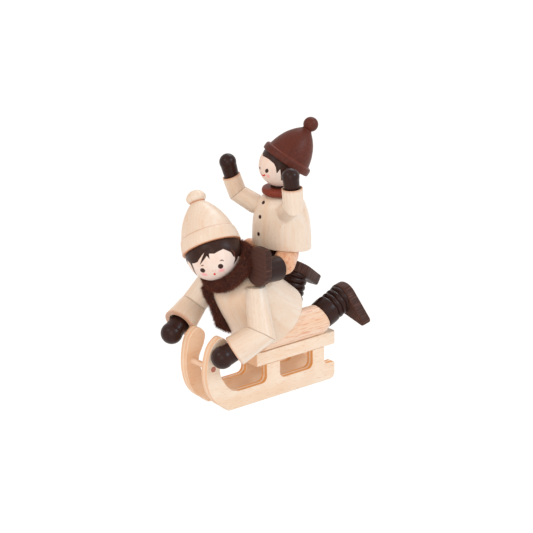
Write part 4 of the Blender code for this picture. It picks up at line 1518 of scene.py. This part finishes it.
@dataclass
class LyingChild:
    """The large child, who lies on the sled."""

    sled: Sled
    view: View
    leg_radius: float = 5.0
    leg_front: float = 14.0
    coat_lean: float = math.radians(38.0)
    coat_radius: float = 13.1
    coat_y: float = 22.5
    coat_height: float = 23.7
    coat_side: tuple[Pair, ...] = ((4.7, 23.4), (7.0, 22.6), (8.95, 20.8), (10.1, 17.6), (10.85, 13.4),
                                   (11.55, 8.6), (12.55, 3.9), (13.1, 0.9))
    coat_easing: float = 0.4
    head_radius: float = 8.9
    head_place: Triple = (-3.0, 2.6, 50.8)
    hat_axis: Triple = (-0.58, 0.105, 0.805)
    brim_rise: float = 1.7
    boot_radius: float = 4.75
    rib_start: float = 4.7
    rib_pitch: float = 1.85
    rib_count: int = 5
    rib_depth: float = 0.5
    rib_sunk: float = 0.03           # how far a rib stays under the cuff's surface
    rib_power: float = 0.55          # under 1 a rib is blunter than a sine
    rib_steps: int = 10
    knees: dict[Side, tuple[float, float]] = field(default_factory=lambda: {
        Side.LEFT: (38.6, 2.2), Side.RIGHT: (33.3, 2.8)})       # knee Y, and from there to the cuff
    boots: dict[Side, Boot] = field(default_factory=lambda: {
        Side.LEFT: Boot((0.0, 0.0, 0.0), (0.052, 0.895, 0.443), (0.0, 0.977, 0.213),
                        (0.805, 0.124, -0.58), 8.9, Toe(12.1, 1.2, 0.0)),
        Side.RIGHT: Boot((0.0, 0.0, 0.0), (-0.12, 0.42, 0.90), (-0.085, 0.563, 0.822),
                         (-0.1, 0.816, -0.569), 11.6, Toe(11.4, 1.7, 0.9))})
    arms: dict[Side, Arm] = field(default_factory=lambda: {
        Side.LEFT: Arm((9.0, 10.05, 39.3), (15.4, 6.9, 27.3), (10.9, -0.6, 21.9), (10.8, -5.4, 21.0),
                       3.5, 4.35, 5.15, 3.7, flat=41.12),
        Side.RIGHT: Arm((-9.15, 6.93, 40.3), (-14.25, 3.11, 30.71), (-11.87, -5.06, 26.25),
                        (-11.51, -8.54, 23.85), 3.9, 4.3, 5.4, 3.6)})
    sole_thickness: float = 3.6
    sole_heel: float = 5.05

    @property
    def axis(self) -> Vector:
        """The coat's axis, from its rim to its neck."""
        return Vector((0.0, -math.sin(self.coat_lean), math.cos(self.coat_lean)))

    @property
    def rim(self) -> Vector:
        """The middle of the coat's rim, which just clears the seat."""
        height = self.sled.seat_top + GLUE_GAP + self.coat_radius * math.sin(self.coat_lean)
        return Vector((0.0, self.coat_y, height))

    def build(self, bench: Bench) -> None:
        """Make the child's pieces.

        Args:
            bench: The bench that finishes them.
        """
        profile = [(0.0, self.coat_height), (3.0, self.coat_height), *through(self.coat_side)]
        profile += [(self.coat_radius - 0.5, 0.0), (0.0, 0.0)]
        coat = Blank(frame_at(self.rim, self.axis)).turn(eased(profile, self.coat_easing))
        bench.piece("lying_coat", coat, PALE_MAPLE)
        for side, arm in self.arms.items():
            arm.build(bench, "lying", side, FINE_STEPS)
        self.build_legs(bench)
        self.build_hat(bench)
        self.build_head(bench)

    def build_legs(self, bench: Bench) -> None:
        """Make the legs, the ribbed boots and their soles.

        Args:
            bench: The bench that finishes them.
        """
        for side, (knee_y, rise) in self.knees.items():
            centre_x = side.sign * (self.leg_radius + GLUE_GAP / 2)
            height = self.sled.seat_top + GLUE_GAP + self.leg_radius
            knee = Vector((centre_x, knee_y, height))
            axis = Vector(self.boots[side].axis).normalized()
            boot = replace(self.boots[side], cuff=tuple(knee + axis * rise))
            profile = dome(knee_y - self.leg_front, self.leg_radius) + [(self.leg_radius, 0.0), (0.0, 0.0)]
            leg = Blank(frame_at((centre_x, self.leg_front, height), Y_AXIS)).turn(profile)
            leg.slice(boot.cuff, axis, 0.12)
            bench.piece(f"lying_leg_{side.value}", leg, PINK_BEECH)
            shaft = Blank(frame_at(boot.cuff, axis)).turn(self.boot_profile())
            shaft.slice(boot.foot(), boot.sole, 0.1)
            bench.piece(f"lying_boot_{side.value}", shaft, DARK_STAIN)
            boot.build_sole(bench, f"lying_sole_{side.value}", self.sole_heel, self.sole_thickness)

    def boot_profile(self) -> Profile:
        """Draw a boot's shaft: a smooth cuff and round ribs, longer than the boot until it is cut.

        Returns:
            The profile, from the ribs' end to the cuff's.
        """
        top = self.rib_start + self.rib_count * self.rib_pitch
        groove = self.boot_radius - self.rib_depth
        profile = [(0.0, top), (groove, top)]
        for rib in range(self.rib_count):
            for step in range(1, self.rib_steps + 1):
                share = step / self.rib_steps
                bulge = (self.rib_depth - self.rib_sunk) * math.sin(math.pi * share) ** self.rib_power
                profile.append((groove + bulge, top - self.rib_pitch * (rib + share)))
        radius, cuff_end = self.boot_radius, self.rib_start
        cuff = [(radius - 0.12, cuff_end - 0.35), (radius + 0.05, cuff_end - 0.9),
                (radius + 0.1, cuff_end / 2), (radius, 0.35), (radius - 0.15, 0.06), (radius - 0.4, 0.0)]
        return profile + through(cuff, 4) + [(0.0, 0.0)]

    def build_hat(self, bench: Bench) -> None:
        """Make the pale bobble hat, whose brim's edge is scorched, with painted shade in the hollow under its
        bobble.

        Args:
            bench: The bench that finishes it.
        """
        bobble = through([(0.0, 19.9), (1.9, 19.5), (3.2, 18.0), (3.15, 16.8), (2.4, 15.8)])
        crown = through([(2.4, 15.8), (4.0, 14.2), (5.9, 11.7), (7.6, 8.5), (8.8, 4.8)])[1:]
        band = [(8.98, 4.72), (9.15, 4.5), (9.6, 2.4), (9.8, 0.35), (9.72, 0.1), (9.5, 0.0)]
        profile = bobble + crown + band + [(8.0, 0.0), (0.0, 0.0)]
        place = Vector(self.head_place) + Vector(self.hat_axis).normalized() * self.brim_rise
        crease_height, fold_height = bobble[-1][1], band[0][1]

        def scorched(spot: Vector) -> float:
            """Find how dark the wood is: more at the brim's scorched edge and at its fold, and painted shade
            in the hollow under the bobble.

            Args:
                spot: The place, in the hat's own frame.

            Returns:
                The share of the dark colour, from 0 to 1.
            """
            brim = 1.0 - smooth_step(spot.z, 0.12, 0.42)
            # Painted shade: the crease under the bobble is darkened with the edge colour.
            painted_crease_shade = 1.0 - smooth_step(abs(spot.z - crease_height), 0.1, 0.5)
            fold = 0.45 * (1.0 - smooth_step(abs(spot.z - fold_height), 0.05, 0.2))
            return max(0.85 * brim, 0.7 * painted_crease_shade, fold)

        hat = Blank(frame_at(place, self.hat_axis)).turn(profile)
        bench.piece("lying_hat", hat, PALE_MAPLE, scorched)

    def build_head(self, bench: Bench) -> None:
        """Make the head with its painted hair and face.

        Args:
            bench: The bench that finishes them.
        """
        head = PaintedHead(self.head_place, self.head_radius, self.hat_axis, self.view)
        head.build(bench, "lying_head", [((204.4, 274.6), (1.3, 0.85)), ((221.7, 270.4), (1.3, 0.85))])
        hair = Blank()
        head.hair(hair, [(187.5, 260.5), (190.5, 263.5), (194.3, 263.3), (197.6, 262.1), (200.8, 256.9),
                         (204.0, 252.8), (208.8, 253.7), (209.7, 259.2), (214.2, 253.7), (221.3, 249.9),
                         (223.2, 249.0), (226.4, 250.3), (230.9, 252.4), (233.5, 256.9), (234.5, 256.0),
                         (240.6, 254.0)],
                  [(150.0, 118.0), (90.0, 122.0), (40.0, 118.0)])
        head.stroke(hair, [(190.5, 262.0), (192.8, 267.5), (194.8, 272.0), (197.2, 275.9)],
                    [1.2, 0.8, 0.5, 0.05])
        head.stroke(hair, [(206.0, 253.5), (203.0, 259.0), (200.1, 264.6)], [1.3, 0.8, 0.05])
        head.stroke(hair, [(236.5, 252.0), (236.5, 257.5), (234.8, 262.0), (233.5, 264.4)],
                    [2.0, 1.6, 0.7, 0.05])
        bench.paint("lying_hair", hair, HAIR_PAINT)
        eyes = Blank()
        head.dab(eyes, (202.7, 270.4), 2.7, 2.0, 30.0)
        head.dab(eyes, (220.6, 266.3), 2.65, 2.4)
        bench.paint("lying_eyes", eyes, EYE_PAINT)
        brows = Blank()
        head.stroke(brows, [(201.0, 266.1), (202.4, 265.4), (203.8, 265.3)], [0.1, 0.34, 0.08])
        head.stroke(brows, [(219.8, 261.2), (221.8, 260.1), (224.0, 261.0)], [0.12, 0.36, 0.1])
        head.stroke(brows, [(230.3, 249.9), (232.8, 251.3), (234.1, 253.6), (235.4, 259.5)],
                    [0.1, 0.4, 0.45, 0.15], rise=0.12)
        bench.paint("lying_brows", brows, BROW_PAINT)
        nose = Blank()
        head.stroke(nose, [(212.6, 270.2), (213.0, 271.2), (213.6, 271.6)], [0.05, 0.16, 0.05])
        head.stroke(nose, [(215.6, 269.8), (215.4, 270.8), (215.0, 271.3)], [0.05, 0.16, 0.05])
        bench.paint("lying_nose", nose, NOSE_PAINT)
        mouth = Blank()
        head.dab(mouth, (214.6, 274.2), 1.15, 1.05)
        bench.paint("lying_mouth", mouth, MOUTH_PAINT)


@dataclass
class Scarf:
    """The plush scarf: a thick ring round the neck, and an end that hangs down the coat."""

    middle: Triple = (-0.76, 6.77, 46.84)
    axis: Triple = (-0.047, -0.716, 0.696)
    ring_radius: float = 8.17
    thickness: float = 2.4
    ring_steps: int = 160
    section_steps: int = 48
    slim_angle: float = math.radians(108.0)     # the side of the ring that is slimmer, behind the head
    slim_share: float = 0.35
    slim_shift: float = 0.9
    slim_start: float = 0.35         # the cosines between which the ring grows slimmer
    slim_end: float = 0.95
    pile: float = 0.75
    pile_reach: float = 1.7          # a straight fibre's length, beside the pile's height
    density: float = 30.0            # fibres on a square millimetre
    fibre_radius: float = 0.05
    lean: float = 0.8
    tail: tuple[Triple, ...] = ((-7.0, 2.3, 38.6), (-5.99, 2.28, 36.33), (-5.67, 3.2, 34.02),
                                (-5.47, 4.0, 32.12), (-5.47, 4.9, 30.12), (-5.57, 5.8, 28.12),
                                (-5.67, 6.8, 26.12), (-5.97, 7.8, 24.12), (-6.17, 8.8, 21.92),
                                (-6.37, 9.6, 19.92))
    tail_widths: tuple[float, ...] = (3.2, 3.1, 2.7, 2.7, 2.9, 3.3, 3.8, 4.5, 5.0, 5.2)
    tail_facing: Triple = (0.45, -0.88, 0.1)
    tail_thickness: float = 1.8
    tail_steps: int = 28
    tail_cut: tuple[Triple, Triple] = ((-5.92, 7.7, 22.87), (-0.33, -0.27, -0.9))
    tail_easing: float = 0.35

    def build(self, bench: Bench) -> None:
        """Make both pieces and their pile.

        Args:
            bench: The bench that finishes them.
        """
        tree = pile_tree()
        core = self.thickness - self.pile * 0.6
        place = frame_at(self.middle, self.axis)
        section = arc((self.ring_radius, 0.0), core, 90.0, -270.0, self.section_steps)[:-1]
        ring = Blank(place).turn(section, self.ring_steps, closed=True)
        for vertex in ring.shape.verts:
            angle = math.atan2(vertex.co.y, vertex.co.x)
            swell = 1.0 + 0.05 * math.sin(5 * angle + 0.6) + 0.035 * math.sin(9 * angle + 2.0)
            slim = smooth_step(math.cos(angle - self.slim_angle), self.slim_start, self.slim_end)
            outward = Vector((math.cos(angle), math.sin(angle), 0.0))
            middle = outward * self.ring_radius
            off = (vertex.co - middle) * (1.0 - self.slim_share * slim)
            off.z *= swell
            vertex.co = middle - outward * self.slim_shift * slim + off
        self.dress(bench, tree, "lying_scarf", ring, 11)
        self.dress(bench, tree, "lying_scarf_end", self.end_roll(), 23)

    def end_roll(self) -> Blank:
        """Make the core of the hanging end: a flat roll along its path.

        Returns:
            The core.
        """
        facing = Vector(self.tail_facing).normalized()
        line = through([(*place, width) for place, width in zip(self.tail, self.tail_widths)])
        places = [Vector(point[:3]) for point in line]
        rings = []
        for i, (place, point) in enumerate(zip(places, line)):
            along = (places[min(i + 1, len(places) - 1)] - places[max(i - 1, 0)]).normalized()
            across = along.cross(facing).normalized()
            up = across.cross(along)
            wide, deep = point[3] / 2 - self.pile * 0.2, self.tail_thickness / 2
            angles = [2 * math.pi * k / self.tail_steps for k in range(self.tail_steps)]
            rings.append([place + across * wide * math.cos(a) + up * deep * math.sin(a) for a in angles])
        return Blank().loft(rings).slice(*self.tail_cut, self.tail_easing)

    def dress(self, bench: Bench, tree: Tree, node: str, core: Blank, seed: int) -> None:
        """Stand the pile on a core and hang it as a soft piece.

        Args:
            bench: The bench that finishes it.
            tree: The tree that makes the pile.
            node: The node that the piece replaces.
            core: The core.
            seed: The seed of the pile.
        """
        mesh = bench.mesh_of(node + "_core", core)
        furred = tree.applied(
            mesh, Density=self.density / (MM * MM), Length=self.pile * self.pile_reach * MM,
            Radius=self.fibre_radius * MM, Lean=self.lean, Seed=seed, Material=PLUSH.material())
        piece = bench.hang(node + "_plush", furred, PLUSH, node)


# The seated child.

@dataclass
class SeatedChild:
    """The small child, who rides on the back of the large one."""

    view: View
    foot: Triple = (0.0, 28.6, 48.5)
    axis: Triple = (0.0, -0.02, 1.0)
    foot_tilt: float = math.radians(8.8)
    coat_height: float = 17.9
    coat_side: tuple[Pair, ...] = ((4.6, 17.6), (6.4, 16.6), (8.05, 13.9), (9.15, 9.6), (9.6, 4.2),
                                   (9.6, 1.0), (9.5, -3.0))
    coat_easing: float = 0.4
    foot_easing: float = 0.25
    ring_height: float = 2.2
    head_radius: float = 6.9
    head_place: Triple = (0.0, 28.16, 75.7)
    hat_place: Triple = (0.435, 29.888, 76.563)
    hat_axis: Triple = (0.244, 0.543, 0.804)
    thigh_radius: float = 3.7
    boot_radius: float = 4.1
    sole_thickness: float = 3.2
    sole_heel: float = 4.5
    button_radius: float = 0.66
    button_flatness: float = 0.4
    button_pixels: tuple[Pair, ...] = ((263.4, 202.5), (260.0, 216.8), (258.5, 234.0))
    arms: dict[Side, Arm] = field(default_factory=lambda: {
        Side.LEFT: Arm((8.6, 23.5, 62.75), (13.65, 22.15, 66.7), (13.6, 21.8, 72.4), (13.5, 21.3, 76.2),
                       3.05, 3.3, 3.4, 2.85, (0.503, -0.41, 0.76)),
        Side.RIGHT: Arm((-7.8, 23.7, 62.0), (-12.9, 20.8, 65.0), (-14.0, 19.1, 71.0), (-14.5, 18.2, 75.6),
                        3.25, 3.0, 3.0, 2.78)})
    knees: dict[Side, Triple] = field(default_factory=lambda: {
        Side.LEFT: (10.3, 20.9, 46.6), Side.RIGHT: (-9.4, 23.5, 46.0)})
    hips: dict[Side, Triple] = field(default_factory=lambda: {
        Side.LEFT: (4.2, 27.4, 46.9), Side.RIGHT: (-4.2, 27.4, 46.9)})
    boots: dict[Side, Boot] = field(default_factory=lambda: {
        Side.LEFT: Boot((10.5, 18.1, 45.7), (0.08, -0.993, 0.08), (0.08, -0.993, 0.08),
                        (0.07, 0.087, 0.994), 6.5, Toe(8.1, 1.8, 1.5)),
        Side.RIGHT: Boot((-9.9, 20.7, 45.3), (-0.35, -0.93, -0.08), (-0.35, -0.93, -0.08),
                         (-0.2, -0.08, 1.0), 6.5, Toe(8.1, 1.8, 1.5))})

    @property
    def foot_normal(self) -> Vector:
        """The upward normal of the coat's slanting foot."""
        return Vector((0.0, math.sin(self.foot_tilt), math.cos(self.foot_tilt)))

    def build(self, bench: Bench) -> None:
        """Make the child's pieces.

        Args:
            bench: The bench that finishes them.
        """
        top = [(0.0, self.coat_height), (3.2, self.coat_height)]
        profile = [*top, *through(self.coat_side), (0.0, self.coat_side[-1][1])]
        coat = Blank(frame_at(self.foot, self.axis)).turn(eased(profile, self.coat_easing))
        coat.slice(self.foot, -self.foot_normal, self.foot_easing)
        self.build_buttons(bench, bench.piece("seated_coat", coat, PALE_MAPLE))
        for side, arm in self.arms.items():
            arm.build(bench, "seated", side, SMALL_STEPS)
        self.build_legs(bench)
        self.build_hat(bench)
        self.build_head(bench)

    def build_buttons(self, bench: Bench, coat: bpy.types.Object) -> None:
        """Make the buttons, where the photograph shows them on the coat.

        Args:
            bench: The bench that finishes them.
            coat: The finished coat.
        """
        surface = BVHTree.FromPolygons([v.co for v in coat.data.vertices],
                                       [face.vertices for face in coat.data.polygons])
        eye = bench.datum.world(self.view.eye())
        hits = [surface.ray_cast(eye, self.view.ray(pixel)) for pixel in self.button_pixels]
        found = [(place, normal) for place, normal, _, _ in hits if place]
        points = bpy.data.meshes.new("button_places")
        points.from_pydata([place for place, _ in found], [], [])
        facing = points.attributes.new("facing", "FLOAT_VECTOR", "POINT")
        facing.data.foreach_set("vector", [value for _, normal in found for value in normal])
        buttons = button_tree().applied(points, Radius=self.button_radius * MM,
                                        Flatness=self.button_flatness, Material=BUTTON_PAINT.material())
        bench.hang("seated_coat_buttons", buttons, BUTTON_PAINT)

    def build_legs(self, bench: Bench) -> None:
        """Make the thighs, the boots and their soles.

        Args:
            bench: The bench that finishes them.
        """
        for side, knee in self.knees.items():
            hip = Vector(self.hips[side])
            length = (Vector(knee) - hip).length
            profile = dome(length, self.thigh_radius) + arc((0.0, 0.0), self.thigh_radius, 0.0, -90.0, 20)
            profile[-1] = (0.0, -self.thigh_radius)
            boot = self.boots[side]
            thigh = Blank(frame_at(hip, towards(hip, knee))).turn(profile, SMALL_STEPS)
            thigh.slice(Vector(self.foot) - self.foot_normal * GLUE_GAP, self.foot_normal)
            thigh.slice(boot.cuff, boot.axis, 0.1)
            bench.piece(f"seated_thigh_{side.value}", thigh, SHADED_THIGH_BEECH)
            profile = eased([(0.0, boot.shaft), (self.boot_radius, boot.shaft), (self.boot_radius, 0.0),
                             (0.0, 0.0)], 0.35)
            shaft = Blank(frame_at(boot.cuff, boot.axis)).turn(profile, SMALL_STEPS)
            bench.piece(f"seated_boot_{side.value}", shaft, DARK_STAIN)
            boot.build_sole(bench, f"seated_sole_{side.value}", self.sole_heel, self.sole_thickness)

    def build_hat(self, bench: Bench) -> None:
        """Make the scarf ring and the red-brown bobble hat.

        Args:
            bench: The bench that finishes them.
        """
        top = Vector(self.foot) + Vector(self.axis).normalized() * self.coat_height
        height, foot = self.ring_height + GLUE_GAP, GLUE_GAP
        edge = through([(5.2, height), (5.8, height - 0.3), (6.05, height - 0.9), (6.0, foot + 0.5),
                        (5.6, foot)])
        ring = [(2.2, height), *edge, (2.2, foot)]
        place = frame_at(top, towards(top, self.head_place))
        bench.piece("seated_scarf_ring", Blank(place).turn(ring, FINE_STEPS, closed=True), RED_RING)
        bobble = dome(14.69, 2.43, -50.0, 30)
        cone = through([(1.76, 12.47), (3.53, 10.71), (5.19, 8.44), (6.54, 5.54), (7.37, 2.6)])
        band = through([(7.45, 2.52), (7.85, 2.5), (8.2, 2.32), (8.45, 1.8), (8.5, 0.7), (8.41, 0.15),
                        (8.2, 0.0)], 5)
        profile = bobble + cone + band + [(6.0, 0.0), (0.0, 0.0)]
        groove_height = cone[-1][1]

        def rubbed(spot: Vector) -> float:
            """How bright the red is: more in the groove over the brim."""
            return 0.3 * (1.0 - smooth_step(abs(spot.z - groove_height), 0.05, 0.3))

        hat = Blank(frame_at(self.hat_place, self.hat_axis)).turn(profile)
        bench.piece("seated_hat", hat, RED_STAIN, rubbed)

    def build_head(self, bench: Bench) -> None:
        """Make the head with its painted hair and face.

        Args:
            bench: The bench that finishes them.
        """
        head = PaintedHead(self.head_place, self.head_radius, self.hat_axis, self.view)
        head.build(bench, "seated_head", [((268.1, 176.2), (0.75, 0.75))])
        hair = Blank()
        head.hair(hair, [(262.8, 155.9), (268.6, 159.0), (274.0, 163.6), (275.8, 167.4), (276.7, 173.6),
                         (280.1, 169.0), (281.0, 180.0)],
                  [(20.0, 112.0), (60.0, 118.0), (120.0, 118.0), (180.0, 100.0), (220.0, 80.0)])
        bench.paint("seated_hair", hair, HAIR_PAINT)
        eyes = Blank()
        head.dab(eyes, (266.8, 170.8), 1.7, 2.15, 15.0)
        head.dab(eyes, (259.8, 167.9), 0.5, 1.1)
        bench.paint("seated_eyes", eyes, EYE_PAINT)
        mouth = Blank()
        head.stroke(mouth, [(260.2, 172.6), (261.8, 174.8), (263.6, 175.6), (265.0, 174.7)],
                    [0.12, 0.35, 0.6, 0.5])
        bench.paint("seated_mouth", mouth, MOUTH_PAINT)


# The studio.

@dataclass(frozen=True)
class SoftBox:
    """A soft box that lights the middle of the ornament."""

    name: str
    way: Triple              # along the camera's right, up and back
    distance: float          # in metres
    size: Pair
    power: float
    colour: Colour

    def build(self, view: View, aim: Vector) -> None:
        """Make the lamp.

        Args:
            view: The camera, whose directions place the lamp.
            aim: The place that it lights, in the world.
        """
        axes = view.axes()
        way = sum((axis * share for axis, share in zip(axes, self.way)), Vector()).normalized()
        lamp = bpy.data.lights.new(self.name, "AREA")
        lamp.shape = "RECTANGLE"
        lamp.size, lamp.size_y = self.size
        lamp.energy = self.power
        lamp.color = self.colour
        box = bpy.data.objects.new(self.name, lamp)
        turn = way.to_track_quat("Z", "Y").to_matrix().to_4x4()
        box.matrix_world = Matrix.Translation(aim + way * self.distance) @ turn
        bpy.context.scene.collection.objects.link(box)


@dataclass
class Studio:
    """A white floor, a warm room and soft boxes."""

    view: View
    ambient: Colour = (0.77, 0.49, 0.31)
    aim: Triple = (0.0, 15.0, 40.0)  # what the boxes light, in the sled's frame
    floor_half: float = 6.0
    floor_tone: float = 0.9
    floor_glow: float = 1.12
    floor_share: float = 0.84        # of its own white that the floor shows the camera
    floor_light: float = 0.4         # of its own white with which it lights
    boxes: tuple[SoftBox, ...] = (
        SoftBox("right_box", (0.9, 0.5, 0.6), 0.6, (0.16, 0.16), 1.1, (0.56, 0.83, 1.0)),
        SoftBox("left_box", (-0.7, 0.6, 0.8), 0.6, (0.13, 0.13), 0.5, (0.82, 0.93, 1.0)),
        SoftBox("top_box", (0.25, 0.9, -0.3), 0.6, (0.3, 0.12), 0.88, (0.79, 0.91, 1.0)),
        SoftBox("front_box", (-0.1, 0.0, 1.0), 0.7, (0.34, 0.34), 0.75, (0.92, 0.93, 0.88)),
    )

    def build(self, datum: Datum) -> None:
        """Make the world, the floor and the lamps.

        Args:
            datum: The sled's frame in the world.
        """
        self.build_world()
        self.build_floor()
        aim = datum.world(self.aim)
        for box in self.boxes:
            box.build(self.view, aim)

    @staticmethod
    def seen(tree: bpy.types.NodeTree) -> bpy.types.NodeSocket:
        """Tell what is seen from what lights.

        Args:
            tree: The tree of the material or the world.

        Returns:
            1 for what the camera, a reflection or a clear body shows, and 0 for what lights.
        """
        path = add_node(tree, "ShaderNodeLightPath")
        shown = path.outputs["Is Camera Ray"]
        for name in ("Is Glossy Ray", "Is Transmission Ray"):
            either = add_node(tree, "ShaderNodeMath", {0: shown, 1: path.outputs[name]},
                              {"operation": "MAXIMUM"})
            shown = either.outputs[0]
        return shown

    def build_world(self) -> None:
        """Make the world: white where it is seen, and softer and warmer where it lights."""
        world = bpy.data.worlds.new("white_room")
        bpy.context.scene.world = world
        world.use_nodes = True
        tree = world.node_tree
        colours = {0: self.seen(tree), 6: (*self.ambient, 1.0), 7: (1.0, 1.0, 1.0, 1.0)}
        colour = add_node(tree, "ShaderNodeMix", colours, {"data_type": "RGBA"})
        tree.links.new(colour.outputs[2], tree.nodes["Background"].inputs["Color"])

    def build_floor(self) -> None:
        """Make the floor, which keeps the ornament's shadow."""
        shape = bmesh.new()
        bmesh.ops.create_grid(shape, x_segments=2, y_segments=2, size=self.floor_half)
        mesh = bpy.data.meshes.new("floor")
        shape.to_mesh(mesh)
        shape.free()
        material = bpy.data.materials.new("white_floor")
        material.use_nodes = True
        tree = material.node_tree
        tree.nodes.clear()
        tone = self.floor_tone
        matt = add_node(tree, "ShaderNodeBsdfDiffuse", {"Color": (tone, tone, tone, 1.0)})
        glow = add_node(tree, "ShaderNodeEmission", {"Strength": self.floor_glow})
        share = add_node(tree, "ShaderNodeMapRange", {
            "Value": self.seen(tree), "To Min": self.floor_light, "To Max": self.floor_share})
        mixed = add_node(tree, "ShaderNodeMixShader", {
            0: share.outputs[0], 1: matt.outputs[0], 2: glow.outputs[0]})
        add_node(tree, "ShaderNodeOutputMaterial", {"Surface": mixed.outputs[0]})
        mesh.materials.append(material)
        floor = bpy.data.objects.new("floor", mesh)
        bpy.context.scene.collection.objects.link(floor)


# The saddle peg is stained dark; its dark stain also paints the deep shade in the gap under the seated
# child's coat.
KEPT_NODES = {"saddle_peg": DARK_STAIN, "seated_neck_peg": DARK_STAIN, "lying_neck_peg": PALE_MAPLE}


def dress_kept_nodes(nodes: dict) -> None:
    """Give the pegs, whose solids stay, their finish.

    Args:
        nodes: The frame's nodes by name.
    """
    for name, finish in KEPT_NODES.items():
        mesh = nodes[name].data
        mesh.materials.clear()
        mesh.materials.append(finish.material(Grain.OBJECT))


def main() -> None:
    """Build the camera, the ornament and its studio."""
    logging.basicConfig(level=logging.INFO, format="%(message)s")
    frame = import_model()
    bpy.context.scene.view_settings.view_transform = "Standard"
    sled, view = Sled(), View()
    datum = Datum.from_frame(sled.rail_rear)
    view.set_camera(datum)
    bench = Bench(datum)
    sled.build(bench)
    LyingChild(sled, view).build(bench)
    Scarf().build(bench)
    SeatedChild(view).build(bench)
    dress_kept_nodes(frame["nodes"])
    Studio(view).build(datum)
    LOG.info("%d pieces made", len(bench.made))


if __name__ == "__main__":
    main()
